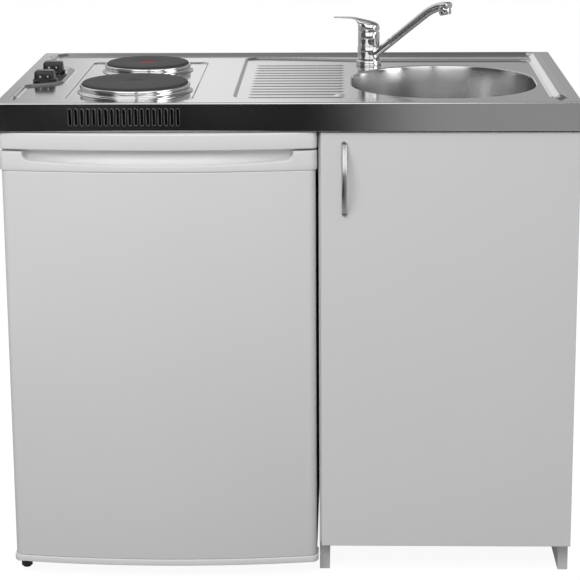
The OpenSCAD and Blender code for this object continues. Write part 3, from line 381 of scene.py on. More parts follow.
def pressed_steel():
    """Rolled sheet, a little darker and duller where the bowl was drawn."""
    f = new_finish("pressed_steel")
    grain = f.noise(260, 4, (1, 14, 14))
    cloud = f.noise(7, 4)
    x, y, z = f.parts(f.place())
    low, high = to_frame((BOWL[0], BOWL[1], WET_LEVEL)), to_frame((BOWL[2], BOWL[3], WET_LEVEL))
    drawn = ((x.soft(low.x - 0.002, low.x + 0.004) - x.soft(high.x - 0.004, high.x + 0.002))
             * (y.soft(low.y - 0.002, low.y + 0.004) - y.soft(high.y - 0.004, high.y + 0.002))
             * (1 - z.soft(low.z - 0.012, low.z - 0.002)))
    return f.surface(
        Base_Color=f.mix(drawn, f.mix(cloud, grey(0.60), grey(0.68)), grey(0.52)), Metallic=1.0,
        Roughness=0.075 + grain * 0.03 + cloud * 0.04 + drawn * 0.13,
        Normal=f.bump(grain, 0.05, 0.0003))


def bright_chrome():
    f = new_finish("bright_chrome")
    haze = f.noise(45, 3)
    return f.surface(Base_Color=f.mix(haze, grey(0.74), grey(0.82)), Metallic=1.0,
                     Roughness=0.035 + haze * 0.05)


TOOL_MARKS = 4200.0  # radians for each metre outwards
DOT_R = (0.0150, 0.0215)


def cast_iron(red_dot):
    """Iron turned on its face, with a red dot in the middle of the fast plate."""
    f = new_finish("cast_iron_dot" if red_dot else "cast_iron")
    x, y, z = f.parts(f.place())
    name, plate_x, plate_y, r = PLATES[1 if red_dot else 0]
    centre = to_frame((plate_x, plate_y, 0))
    dx, dy = x - centre.x, y - centre.y
    radius = (dx * dx + dy * dy).root()
    rings = radius.math("SINE", radius * TOOL_MARKS)
    grit = f.noise(900, 3)
    wear = f.noise(60, 4)
    colour = f.mix(wear, grey(0.030), grey(0.045))
    if red_dot:
        inside = 1 - (radius + wear * 0.006).soft(*DOT_R)
        colour = f.mix(inside * 0.9, colour, (0.17, 0.020, 0.020, 1))
    return f.surface(Base_Color=colour, Specular_IOR_Level=0.25,
                     Roughness=0.42 + grit * 0.16 + wear * 0.08,
                     Normal=f.bump(rings * 0.35 + grit, 0.35, 0.0003))


def brushed_handle():
    f = new_finish("brushed_handle")
    grain = f.noise(700, 3, (6, 6, 0.4))
    return f.surface(Base_Color=f.mix(grain, grey(0.52), grey(0.66)), Metallic=1.0,
                     Roughness=0.24 + grain * 0.12, Normal=f.bump(grain, 0.12, 0.0003))


def moulded(name, low, high, rough, tint=(1, 1, 1), grain=1400, strength=0.12, depth=0.0002):
    """Moulded plastic, painted board or enamel: a fine texture over soft clouds of colour."""
    f = new_finish(name)
    fine = f.noise(grain, 2)
    cloud = f.noise(5, 3)
    return f.surface(Base_Color=f.mix(cloud, grey(low, tint), grey(high, tint)),
                     Roughness=rough + fine * 0.06 + cloud * 0.03,
                     Normal=f.bump(fine, strength, depth))


def plain_metal(name, low, high, rough, tint=(1, 1, 1)):
    f = new_finish(name)
    cloud = f.noise(30, 4)
    fine = f.noise(900, 2)
    return f.surface(Base_Color=f.mix(cloud, grey(low, tint), grey(high, tint)), Metallic=1.0,
                     Roughness=rough + cloud * 0.15, Normal=f.bump(fine, 0.1, 0.0002))


def sawn_timber():
    f = new_finish("sawn_timber")
    rings = f.noise(14, 5, (1, 9, 9), 0.6)
    pores = f.noise(420, 3, (0.15, 4, 4))
    return f.surface(Base_Color=f.mix(rings, (0.50, 0.35, 0.19, 1), (0.68, 0.52, 0.32, 1)),
                     Roughness=0.62 + pores * 0.2, Normal=f.bump(pores, 0.4, 0.0005))


def clear(name, tint, rough):
    """Glass or clear plastic."""
    f = new_finish(name)
    haze = f.noise(60, 3)
    return f.surface(Base_Color=f.mix(haze, grey(0.88, tint), grey(0.95, tint)),
                     Transmission_Weight=0.85, IOR=1.49, Roughness=rough + haze * 0.04)


FINISHES = {
    "worktop_steel": pressed_steel(),
    "chrome": bright_chrome(),
    "cast_iron": cast_iron(False),
    "timber": sawn_timber(),
    "zinc_steel": plain_metal("zinc_steel", 0.48, 0.62, 0.30),
    "handle_steel": brushed_handle(),
    "black_plastic": moulded("black_plastic", 0.010, 0.016, 0.20, strength=0.05),
    "white_plastic": moulded("white_plastic", 0.825, 0.85, 0.34),
    "waste_plastic": moulded("waste_plastic", 0.72, 0.78, 0.38),
    "clear_plastic": clear("clear_plastic", (0.97, 1, 1), 0.08),
    "white_board": moulded("white_board", 0.75, 0.77, 0.42, (1, 1, 0.995), 900, 0.16, 0.0003),
    "white_enamel": moulded("white_enamel", 0.765, 0.785, 0.26, (1, 1, 1), 260, 0.10, 0.0002),
    "grey_rubber": moulded("grey_rubber", 0.44, 0.5, 0.6),
    "black_paint": moulded("black_paint", 0.02, 0.03, 0.4),
    "brass": plain_metal("brass", 0.75, 0.9, 0.28, (0.85, 0.68, 0.36)),
    "shelf_glass": clear("shelf_glass", (0.93, 1, 0.97), 0.02),
}
RED_DOT_IRON = cast_iron(True)
# Near-black steel for the hob tray: painted shade, so that the vent slots in the apron read dark.
SHADE_BLACK_STEEL = plain_metal("shade_black_steel", 0.02, 0.035, 0.5)
WHITE_PRINT = moulded("white_print", 0.62, 0.7, 0.5)

# ---------- Pressed worktop ----------

# Stops of the deck's grid lines: (place, spacing from there on), closer where the sheet bends.
DECK_X = ((2.6, 3), (14, 2), (96, 3), (110, 1), (118, 8), (330, 1), (340, 6), (400, 1), (412, 3),
          (946, 1), (974, 3), (997.4, 1))
DECK_Y = ((2.6, 2.5), (30, 1.5), (50, 2), (464, 1.2), (474, 3), (492, 1.5), (548, 2), (582, 3),
          (597.4, 1))
RIM_REACH = 3.0         # grid points at most this far from the bowl's rim are drawn to it
TOP_EDGE_R, PLAN_R, FOLD_R, FOLD_D = 2.6, 5.0, 1.5, 9
WET_AREA = (405, 42, 955, 500, 30)   # x0, y0, x1, y1, corner radius
HOB_AREA = (114, 34, 336, 470, 15)
BEAD_PATH = ((25, 52), (25, 169), (33, 179), (81, 208), (86, 219), (86, 365), (80, 379), (31, 425),
             (27, 437), (33, 548), (47, 563), (953, 563), (967, 548), (967, 48))
BEADS = ((0, 10, 6.5, 4.0), (9, 11, 18.0, 5.0), (11, 13, 14.0, 5.2))  # path's points, half, height
RIM_R = 3.0
RIB_X0, RIB_X1, RIB_Y0, RIB_PITCH, RIB_COUNT, RIB_H, RIB_HALF = 428, 595, 72.8, 30.7, 13, 1.0, 7.5


def box_gap(x, y, x0, y0, x1, y1, r):
    """Distance outside a rectangle with round corners; less than 0 inside."""
    dx = abs(x - (x0 + x1) / 2) - (x1 - x0) / 2 + r
    dy = abs(y - (y0 + y1) / 2) - (y1 - y0) / 2 + r
    return hypot(max(dx, 0), max(dy, 0)) + min(max(dx, dy), 0) - r


def line_gap(x, y, a, b):
    ax, ay, bx, by = *a, *b
    dx, dy = bx - ax, by - ay
    t = min(max(((x - ax) * dx + (y - ay) * dy) / (dx * dx + dy * dy), 0), 1)
    return hypot(x - ax - t * dx, y - ay - t * dy)


def swell(gap, half):
    """A soft ridge that is half wide each way."""
    return 0 if gap >= half else 0.5 + 0.5 * cos(pi * gap / half)


def rib_height(x, y):
    """Height of the drainer's ribs, of which the front two are joined at their right end."""
    if not (RIB_X0 - 8 < x < RIB_X1 + 8 and RIB_Y0 - 16 < y < RIB_Y0 + RIB_PITCH * RIB_COUNT):
        return 0
    i = min(max(round((y - RIB_Y0) / RIB_PITCH), 0), RIB_COUNT - 1)
    left, right = RIB_X0 + RIB_HALF, RIB_X1 - RIB_HALF
    gap = line_gap(x, y, (left, RIB_Y0 + i * RIB_PITCH), (right, RIB_Y0 + i * RIB_PITCH))
    gap = min(gap, line_gap(x, y, (right, RIB_Y0), (right, RIB_Y0 + RIB_PITCH)))
    return RIB_H * (1 - ease(RIB_HALF * 0.5, RIB_HALF, gap))


def deck_level(x, y):
    """Height of the pressed sheet at a place."""
    level = WORKTOP_H
    lift = 0.15 * max(TAP_X - x, 0) * ease(300, 480, y)
    wet = box_gap(x, y - lift, *WET_AREA)
    level -= (WORKTOP_H - WET_LEVEL) * (1 - ease(-5, 1, wet))
    hob = box_gap(x, y, *HOB_AREA)
    level -= (WORKTOP_H - HOB_LEVEL) * (1 - ease(-3, 0.5, hob))
    ridge = 0
    for first, last, half, height in BEADS:
        if first == 0 and x > 110 or first == 9 and y < 530 or first == 11 and x < 930:
            continue  # too far away to matter
        gap = min(line_gap(x, y, BEAD_PATH[i], BEAD_PATH[i + 1]) for i in range(first, last))
        ridge = max(ridge, height * swell(gap, half))
    return max(level, WORKTOP_H - 3) + ridge + rib_height(x, y)


def bowl_outline(d, count=20):
    x0, y0, x1, y1 = BOWL
    return round_area(x0 + d, y0 + d, x1 - d, y1 - d, max(BOWL_R - d, 6), count)


def plan_point(x, y, d):
    """Turns a place on the square grid into one inside the worktop's rounded plan. d is not used."""
    core_x = min(max(x, PLAN_R), WORKTOP_W - PLAN_R)
    core_y = min(max(y, PLAN_R), WORKTOP_D - PLAN_R)
    dx, dy = x - core_x, y - core_y
    if not dx and not dy:
        return x, y
    far = max(abs(dx), abs(dy)) / hypot(dx, dy)
    return core_x + dx * far, core_y + dy * far


def deck():
    """The sheet's top, as a fine grid with the bowl's opening left out."""
    xs, ys = stretches(*DECK_X), stretches(*DECK_Y)
    x_count, y_count = len(xs) - 1, len(ys) - 1
    hole = [Vector(p) for p in bowl_outline(-RIM_R, 48)]
    x0, y0, x1, y1 = BOWL
    places = [plan_point(x, y, TOP_EDGE_R) for y in ys for x in xs]
    gaps = [box_gap(x, y, x0 - RIM_R, y0 - RIM_R, x1 + RIM_R, y1 + RIM_R, BOWL_R + RIM_R)
            for x, y in places]
    width = x_count + 1
    faces, used = [], set()
    for j in range(y_count):
        for i in range(x_count):
            corner = j * width + i
            face = (corner, corner + 1, corner + 1 + width, corner + width)
            near_enough = sum(gaps[k] > -0.2 * RIM_REACH for k in face) >= 3
            if near_enough and max(gaps[k] for k in face) > 0:
                faces.append(face)
                used.update(face)
    edge = {}
    for face in faces:
        for k in face:
            if gaps[k] < RIM_REACH:
                edge[k] = edge.get(k, 0) + 1
    points = []
    for k, (x, y) in enumerate(places):
        if edge.get(k, 4) < 4 or gaps[k] < 0 and k in used:
            x, y = min(hole, key=lambda p: (p.x - x) ** 2 + (p.y - y) ** 2)
        points.append((x, y, deck_level(x, y)))
    renumber = {k: i for i, k in enumerate(sorted(used))}
    return Shape().add([points[k] for k in sorted(used)], [[renumber[k] for k in f] for f in faces])


def skirt():
    """The rounded top edge, the apron and its folded lower edge, as one closed tube of sheet."""
    profile = [(TOP_EDGE_R * (1 - sin(a)), WORKTOP_H - TOP_EDGE_R * (1 - cos(a)))
               for a in steps(0, pi / 2, 6)]
    low = WORKTOP_H - APRON_H
    profile += [(FOLD_R * (1 - cos(a)), low + FOLD_R * (1 - sin(a))) for a in steps(0, pi / 2, 4)]
    profile += [(FOLD_D, low), (FOLD_D, low + SHEET), (SHEET + 0.6, low + SHEET), (SHEET, low + 2),
                (SHEET, WORKTOP_H - TOP_EDGE_R), (TOP_EDGE_R, WORKTOP_H - SHEET)]
    rings = []
    for d, level in held(profile, 0.8):
        outline = round_area(d, d, WORKTOP_W - d, WORKTOP_D - d, PLAN_R - d if d < PLAN_R else 0.4, 6)
        rings.append([(x, y, level) for x, y in held(outline)])
    return Shape().loft(rings, closed=True)


VENT_X, VENT_PITCH, VENT_COUNT, VENT_W, VENT_H, VENT_Z = 129, 10.25, 19, 4.8, 29, 840
BURR, BURR_DEPTH = 0.34, 0.25


def vent_outline(x, d=0.0):
    """One upright slot with round ends, d smaller all round."""
    return round_area(x - VENT_W / 2 + d, VENT_Z - VENT_H / 2 + d, x + VENT_W / 2 - d,
                      VENT_Z + VENT_H / 2 - d, VENT_W / 2 - d, 6)


def vents():
    """Tools that punch the slots, and the burr that each slot's edge shows."""
    tools, burrs = Shape(), Shape()
    for i in range(VENT_COUNT):
        x = VENT_X + i * VENT_PITCH
        tools.loft([[(u, y, w) for u, w in vent_outline(x)] for y in (-4, 5)])
        rings = [[(u, -BURR_DEPTH * sin(a), w) for u, w in vent_outline(x, BURR * cos(a) - 0.32)]
                 for a in steps(0, 2 * pi, 8)[:-1]]
        burrs.loft(rings, closed=True)
    return tools, burrs


BOWL_WALL = ((3, 830), (7, 790), (11, 752), (12.4, 742), (15.5, 731), (20.5, 722.5), (27, 716.5),
             (35, 713.3), (46, 712.4))  # distance inwards from the opening, and level
BOWL_OUT = 0.9  # how much wider the outside is


def bowl():
    """The bowl's inside and outside, from its rolled rim to the opening for the waste."""
    centre = Vector(((BOWL[0] + BOWL[2]) / 2, (BOWL[1] + BOWL[3]) / 2))
    rim = [(-RIM_R - 1.5, WET_LEVEL - 0.05)]
    rim += [(RIM_R * (sin(a) - 1), WET_LEVEL - RIM_R * (1 - cos(a))) for a in steps(0, radians(84), 7)]

    def ring(d, level):
        return [(x, y, level) for x, y in bowl_outline(d)]

    def waste(radius, level, share=1.0):
        """A ring between the foot of the wall (share 0) and a circle round the waste (share 1)."""
        points = []
        for x, y in bowl_outline(BOWL_WALL[-1][0]):
            away = Vector((x, y)) - centre
            points.append((*(centre + away.lerp(away.normalized() * radius, share)), level))
        return points

    rings = [ring(d, level) for d, level in (*rim, *BOWL_WALL)]
    rings += [waste(49, 712.2, 0.5), waste(49, 711.95), waste(48.6, 709), waste(50, 708.6)]
    rings += [waste(50, 710.8), waste(49, 711, 0.5)]
    rings += [ring(d - BOWL_OUT, level - SHEET) for d, level in reversed(BOWL_WALL)]
    rings += [ring(-RIM_R - 1.5, WET_LEVEL - SHEET - 0.05)]
    return Shape().loft(rings, caps=(False, False))


def underside():
    """The back of the sheet, seen only from the cupboard."""
    level, margin, far = WET_LEVEL - SHEET, 4, 1e9
    hole = bowl_outline(-RIM_R - 1)
    cx, cy = (BOWL[0] + BOWL[2]) / 2, (BOWL[1] + BOWL[3]) / 2
    outer = []
    for x, y in hole:
        dx, dy = x - cx, y - cy
        reach = min(((WORKTOP_W - margin if dx > 0 else margin) - cx) / dx if abs(dx) > 1e-6 else far,
                    ((WORKTOP_D - margin if dy > 0 else margin) - cy) / dy if abs(dy) > 1e-6 else far)
        outer.append((cx + dx * reach, cy + dy * reach, level))
    return Shape().loft([[(x, y, level) for x, y in hole], outer], caps=(False, False))


def worktop():
    """The pressed sheet and the bowl, which is welded to it."""
    tools, burrs = vents()
    shape = cut(skirt(), tools)
    for part in (burrs, deck(), bowl(), underside()):
        shape.join(part)
    show("pressed_worktop", shape, FINISHES["worktop_steel"], "base", "worktop_steel",
         "worktop_sheet", "sink_bowl", angle=40)


# ---------- Hob ----------

PLATE_TOP, PLATE_THICK = 881, 8.4
PLATE_DISH = ((0, -0.9), (16, -0.9), (18.5, -0.35), (21, 0))  # radius, and height from the top
PLATE_EDGE = ((-9, 0), (-5, -0.1), (-2.5, -0.7), (-0.9, -1.9), (-0.4, -3.2), (-0.4, -7.4), (-3, -8.4))
RIM = ((-0.2, 875.2), (0.5, 877.0), (1.7, 877.2), (3.0, 876.2), (3.6, 874.2), (3.4, 871.8),
       (2.6, 869.6), (2.4, 868.2), (3.0, 866.9), (4.6, 865.7), (6.6, 864.9), (7.9, 864.1),
       (8, 863.3), (7.6, 863.02), (1, 863.02), (-0.2, 864))  # beyond the plate's radius, and level


def hotplate(name, x, y, r):
    """A cast plate with a dished middle, and the spill ring round it."""
    disc = [*PLATE_DISH, *((r + d, h) for d, h in PLATE_EDGE), (0, -PLATE_THICK)]
    show("plate_" + name, Shape().lathe(disc, (x, y, PLATE_TOP), count=128),
         RED_DOT_IRON if name == "rear" else FINISHES["cast_iron"], "base", "cast_iron",
         "hotplate_" + name)
    show("rim_" + name, Shape().lathe([(r + d, level) for d, level in RIM], (x, y, 0), count=128),
         FINISHES["chrome"], "base", "chrome", "spill_ring_" + name, angle=50)


KNOB_FOOT = ((0, 0.5), (21.4, 0.5), (22, 1.1), (22, 3.9), (20.8, 5.1), (15, 5.9), (0, 5.9))
KNOB_W, KNOB_D = 18.9, 15.85  # half of each, at the foot of the grip
KNOB_GRIP = ((867, 0, 6), (869, 0.4, 6), (876, 1.0, 5.5), (882, 1.5, 5), (884, 2.0, 5),
             (885.3, 3.1, 4.5), (885.9, 4.8, 4))  # level, less all round, corner radius
MARK_DEPTH = (-0.4, 0.3)


def knob(name, x, y):
    """A square grip on a round foot."""
    shape = Shape().lathe(KNOB_FOOT, (x, y, WORKTOP_H))
    shape.loft([[(u, v, level) for u, v in
                 round_area(x - KNOB_W + less, y - KNOB_D + less, x + KNOB_W - less, y + KNOB_D - less, r, 6)]
                for level, less, r in KNOB_GRIP])
    show("control_" + name, shape, FINISHES["black_plastic"], "knob_" + name, "black_plastic",
         "knob_" + name)


def knob_marks(name, x, y):
    """A dot and a star of three strokes on the grip's front."""
    face = y - KNOB_D + 0.75
    dot = [(0, -0.35), (1.3, -0.35), (1.3, 0.3), (0, 0.3)]
    marks = Shape().lathe(dot, (x + 7.5, face, 876.5), "y", 20)
    for turn in range(3):
        c, s = cos(pi * turn / 3), sin(pi * turn / 3)
        stroke = [(2.3 * u * c - 0.32 * v * s, 2.3 * u * s + 0.32 * v * c)
                  for u, v in ((-1, -1), (1, -1), (1, 1), (-1, 1))]
        marks.loft([[(x - 6 + u, face + depth, 876 + v) for u, v in stroke] for depth in MARK_DEPTH])
    show("marks_" + name, marks, WHITE_PRINT, "knob_" + name, "black_plastic")


# ---------- Tap ----------

# Outlines are (radius, height above the worktop).
TAP_FOOT = (TAP_X, TAP_Y, WORKTOP_H)
MIXER = ((0, -8), (16, -8), (16, -3), (23.5, -3), (24, -2.5), (24, 3.2), (23.2, 5.2), (21.6, 6.2),
         (21.4, 8.0), (16.4, 8.1), (16.4, 32.2), (19.8, 32.4), (20.5, 33.2), (20.5, 59), (19.9, 60),
         (14, 60), (14, 54), (0, 54))
TAIL = ((3, -50), (5, -50), (5, -7), (3, -7))
COLLAR = ((16.8, 8.6), (20.6, 8.6), (21.4, 9.4), (21.4, 31.2), (20.8, 32.1), (16.8, 32.1))
OUTLET = ((0, 121), (6, 121), (10, 119.6), (11.4, 116), (11.6, 112), (11.6, 105.2), (11.2, 104.4),
          (10.8, 104.3), (10.8, 106), (0, 106))
AERATOR = ((0, 103.8), (8.2, 103.8), (8.8, 102.8), (9.4, 102.1), (10.2, 102.1), (10.6, 102.7),
           (10.6, 104.6), (0, 104.6))
CARTRIDGE = ((0, 45), (13.4, 45), (13.4, 60.3), (12, 60.6), (12, 62), (0, 62))
CROSS_PIN = ((0, -8), (1.9, -8), (1.9, 8), (0, 8))
SPOUT_ALONG = Vector((cos(radians(-33)), sin(radians(-33)), 0))
SPOUT_END = (0, 0.3, 1.1, 2.4)  # how much smaller the last sections are
OUTLET_REACH, OUTLET_LEAN, OUTLET_PIVOT = 166, -12, 115
LEVER_R, LEVER_L = 20.6, 67
# Height of the lever's top and of its blade's underside, from the blade's tip to the back.
LEVER_TOP = ((-67, 88.4), (-40, 87.7), (-26, 86.4), (-13, 83.9), (-2, 81.4), (8, 79.2), (14, 77),
             (18, 74.2), (20.6, 69))
BLADE_LOW = ((-67, 86.2), (-40, 85.2), (-30, 84.0), (-24.5, 81), (-21.5, 76), (-19.5, 71), (-17, 68),
             (5, 67))


def mixer_body():
    """The body, with the shank and the two tails that hang from it."""
    shape = Shape().lathe(MIXER, TAP_FOOT)
    for s in (-1, 1):
        shape.lathe(TAIL, (TAP_X + s * 8, TAP_Y, WORKTOP_H), count=32)
    show("mixer_body", shape, FINISHES["chrome"], "base", "chrome", "tap_body", angle=50)


def spout_path():
    """(reach, height) along the spout: a straight rise, then a bend over to the outlet."""
    path = [(blend_of(16, 125.3, t), blend_of(17.9, 101.5, t)) for t in steps(0, 1, 16)]
    path += [(180 + 90 * cos(radians(a)), 30 + 90 * sin(radians(a))) for a in steps(127.4, 93.4, 18)[1:]]
    return path + [(175.6, 119.8), (176.6, 119.8), (177, 119.8)]


def turned_outlet(profile):
    """Something turned at the spout's end, whose foot leans a little outwards."""
    nose = Vector(TAP_FOOT) + SPOUT_ALONG * OUTLET_REACH
    pivot = nose + Vector((0, 0, OUTLET_PIVOT))
    turn = Matrix.Rotation(radians(OUTLET_LEAN), 3, Vector((-SPOUT_ALONG.y, SPOUT_ALONG.x, 0)))
    shape = Shape().lathe(profile, nose)
    shape.points = [tuple(pivot + turn @ (Vector(p) - pivot)) for p in shape.points]
    return shape


def spout():
    """The collar that turns on the body, the arm that flattens towards its end, and the outlet."""
    points = [Vector(TAP_FOOT) + SPOUT_ALONG * reach + Vector((0, 0, h)) for reach, h in spout_path()]
    last = len(points) - 1

    def section(t):
        less = SPOUT_END[max(round(t * last) - last + 3, 0)]
        swelling = ease(0.2, 0.7, t)
        return rounded(blend_of(7.6, 9.0, swelling) + 2.6 * ease(0.75, 0.92, t) - less,
                       blend_of(7.4, 8.2, swelling) - 1.4 * ease(0.78, 0.95, t) - less,
                       2.2 + 0.6 * ease(0.75, 0.95, t))

    shape = Shape().lathe(COLLAR, TAP_FOOT, closed=True)
    shape.join(sweep(points, section)).join(turned_outlet(OUTLET))
    show("spout", shape, FINISHES["chrome"], "tap_spout", "chrome", "tap_spout", angle=50)


def aerator():
    show("aerator", turned_outlet(AERATOR), FINISHES["chrome"], "tap_spout", "chrome", "tap_aerator",
         angle=50)


def cartridge():
    """The brass stem under the lever, with the cross pin that the lever rocks on."""
    shape = Shape().lathe(CARTRIDGE, TAP_FOOT)
    x0, x1, y0, y1 = TAP_X + 8, TAP_X + 13, TAP_Y - 4, TAP_Y + 4
    shape.join(slab([(x0, y0), (x1, y0), (x1, y1), (x0, y1)], WORKTOP_H + 61, WORKTOP_H + 72,
                    flat_on_z, 0.5))
    shape.lathe(CROSS_PIN, (TAP_X + 11, TAP_Y, WORKTOP_H + 72), "y", 24)
    show("cartridge", shape, FINISHES["brass"], "tap_stem", "brass", "tap_stem")


def lever_ring(half, upper, lower, count=40):
    """An outline half wide each way and 1 high each way; more power makes its corners squarer."""
    ring = []
    for i in range(count):
        c, s = cos(2 * pi * i / count), sin(2 * pi * i / count)
        power = 2 / (upper if s >= 0 else lower)
        ring.append((half * abs(c) ** power * (1 if c >= 0 else -1), abs(s) ** power * (1 if s >= 0 else -1)))
    return ring


def lever_cap(shape):
    rings = []
    for a in steps(2, 178, 60):
        x, half = LEVER_R * cos(radians(a)), LEVER_R * sin(radians(a))
        low = 61 + 2.1 * ease(9, 21, x)
        top = follow(LEVER_TOP, x) - 0.5
        middle = blend_of(low, top, 0.3)
        rings.append([(TAP_X + x, TAP_Y + u,
                       WORKTOP_H + middle + (v * (top - middle) if v > 0 else v * (middle - low)))
                      for u, v in lever_ring(half, 2.7, 14)])
    shape.loft(rings)


def lever_blade(shape):
    rings = []
    for x in steps(4, -LEVER_L, 46):
        tip = sqrt(max(1 - (max(-x - 60, 0) / (LEVER_L - 59.9)) ** 2, 0.02))
        half = blend_of(15.2, 8.6, ease(14, 58, -x)) * tip
        top, low = follow(LEVER_TOP, x), follow(BLADE_LOW, x)
        middle = (top + low) / 2
        rings.append([(TAP_X + x, TAP_Y + u, WORKTOP_H + middle + v * (top - low) / 2)
                      for u, v in lever_ring(half, 3.0, 3.0)])
    shape.loft(rings)


def lever():
    """A round cap whose top runs out into a thin blade."""
    shape = Shape()
    lever_cap(shape)
    lever_blade(shape)
    show("lever", shape, FINISHES["chrome"], "tap_lever", "chrome", "tap_lever", angle=50)


# ---------- Cupboard ----------

BOARD = 18
SIDES = (("side_left", "side_panel_left", 552), ("side_right", "side_panel_right", 982))
SIDE_OUTLINE = ((49, 0), (580, 0), (580, 815), (27, 815), (27, 61), (49, 61))  # y, z
DOOR_X0, DOOR_X1, DOOR_LOW, DOOR_TOP, DOOR_FRONT, DOOR_BACK = 556, 999.5, 61, 812, 7, 25
HANDLE_X, HANDLE_Z, HANDLE_FOOT = 596.5, 732, 60.5
HANDLE_R, HANDLE_CENTRE_Y = 96.65, 80.35
HINGE_X, HINGE_LEVELS = 979, (151, 722)
CUP_BORE = ((0, 13.5), (17.5, 13.5), (17.5, 30), (0, 30))
SCREW_BORE = ((0, 0), (2.5, 0), (2.5, 21.5), (4.75, 21.5), (4.75, 30), (0, 30))


def cupboard_sides():
    for name, node, x in SIDES:
        show(name, slab(SIDE_OUTLINE, x, x + BOARD, flat_on_x, 0.6), FINISHES["white_board"], "base",
             "white_board", node)


def cupboard_door():
    """The door, with bores for the hinge cups and for the handle's screws."""
    outline = [(DOOR_X0, DOOR_LOW), (DOOR_X1, DOOR_LOW), (DOOR_X1, DOOR_TOP), (DOOR_X0, DOOR_TOP)]
    bores = Shape()
    for z in HINGE_LEVELS:
        bores.lathe(CUP_BORE, (HINGE_X, 0, z), "y", 48)
    for z in (HANDLE_Z - HANDLE_FOOT, HANDLE_Z + HANDLE_FOOT):
        bores.lathe(SCREW_BORE, (HANDLE_X, 0, z), "y", 32)
    leaf = cut(slab(outline, DOOR_FRONT, DOOR_BACK, flat_on_y, 0.9), bores)
    show("door_leaf", leaf, FINISHES["white_board"], "cupboard_door_leaf", "white_board", "cupboard_door")


def bow_handle():
    """A bowed strip with a round foot near each end."""
    reach = degrees(acos((HANDLE_CENTRE_Y - 5.4) / HANDLE_R))
    path = [(HANDLE_X, HANDLE_CENTRE_Y - HANDLE_R * cos(radians(a)), HANDLE_Z + HANDLE_R * sin(radians(a)))
            for a in steps(-reach, reach, 40)]
    strip = sweep(path, lambda t: rounded(4.75, 2.65, 3.2), up=Vector((0, -1, 0)))
    foot = [(0, 1.5), (4.2, 1.5), (4.2, 6.6), (4.7, 6.98), (0, 6.98)]
    for s in (-1, 1):
        strip.lathe(foot, (HANDLE_X, 0, HANDLE_Z + s * HANDLE_FOOT), "y", 32)
    show("bow_grip", strip, FINISHES["handle_steel"], "cupboard_door_leaf", "handle_steel", "bow_handle",
         angle=50)


# ---------- Refrigerator ----------

DOOR_SKIN = (6, 547, 41.7, 746.8, 1)  # x0, x1, low, top, how far behind the bow
FOOT_TRIM = (3, 550, 30, 41.5, 0)
FASCIA = (3, 550, 784, 813, 0)
DOOR_DEPTH, FASCIA_DEPTH = 50, 60
GRIP_X0, GRIP_X1, GRIP_LOW, GRIP_TOP, GRIP_R = 3, 550, 747, 780.5, 14
RECESS_X0, RECESS_X1, RECESS_CORNER, RECESS_LIP, RECESS_SAG = 44, 509, 12, 757.5, 8.5


def front_y(x):
    """How far back the bowed front lies."""
    return BULGE_Y + BULGE_R - sqrt(BULGE_R ** 2 - (x - FRIDGE_MID) ** 2)


def bowed_outline(x0, x1, back, off, r):
    """Plan of a bowed front part, anticlockwise, with rounded front corners."""
    line = []
    tilt = front_y(x0 + r) + off + r
    for a in steps(180, 270, 10)[:-1]:
        line.append((x0 + r + r * cos(radians(a)), tilt + r * sin(radians(a))))
    for x in steps(x0 + r, x1 - r, 48):
        line.append((x, front_y(x) + off))
    for a in steps(270, 360, 10)[1:]:
        line.append((x1 - r + r * cos(radians(a)), tilt + r * sin(radians(a))))
    return line + [(x1, back), (x0, back)]


def bowed_part(name, sizes, depth, r, edge, count, finish, body, node):
    x0, x1, low, top, off = sizes
    shape = slab(bowed_outline(x0, x1, depth, off, r), low, top, flat_on_z, edge, count)
    show(name, shape, FINISHES[finish], body, finish, node)


def recess_lip(x):
    """Height of the finger recess's lower edge: a shallow smile with rounded ends."""
    half = (RECESS_X1 - RECESS_X0) / 2
    smile_r = (half ** 2 + RECESS_SAG ** 2) / (2 * RECESS_SAG)
    level = RECESS_LIP + smile_r - sqrt(smile_r ** 2 - (x - FRIDGE_MID) ** 2)
    near = min(x - RECESS_X0, RECESS_X1 - x)
    if near < RECESS_CORNER:
        level += RECESS_CORNER - sqrt(max(RECESS_CORNER ** 2 - (RECESS_CORNER - near) ** 2, 0))
    return min(level, GRIP_TOP - 1.2)


def grip_front(edge):
    """(depth, height) up the strip's front, to just under an edge."""
    low = GRIP_LOW + 1.6
    front = [(1.6, GRIP_LOW), (0.5, GRIP_LOW + 0.45), (0, low)]
    return front + [(0, blend_of(low, edge - 1.4, t)) for t in (0.35, 0.7, 1)]


def plain_profile():
    """(depth, height) up the strip's front and over its top, beside the recess."""
    line = grip_front(GRIP_TOP - 1.2) + [(0.1, GRIP_TOP - 1.5), (0.35, GRIP_TOP - 0.5)]
    return line + [(0.35 + 6.0 * t, GRIP_TOP - 0.5 + 0.5 * min(t * 5, 1)) for t in steps(0, 1, 10)[1:]]


def recess_profile(x):
    """The same with the hollow, which is deepest near the recess's ends."""
    edge = recess_lip(x)
    share = ease(10, 170, min(x - RECESS_X0, RECESS_X1 - x))
    depth, lie = blend_of(26, 19, share), blend_of(2.6, 1.3, share)
    line = grip_front(edge) + [(0.35, edge - 0.45), (1.3, edge)]
    for a in steps(0, pi / 2, 10)[1:]:
        line.append((1.3 + (depth - 1.3) * sin(a) ** 0.9, edge + (GRIP_TOP - edge) * (1 - cos(a)) ** lie))
    return line


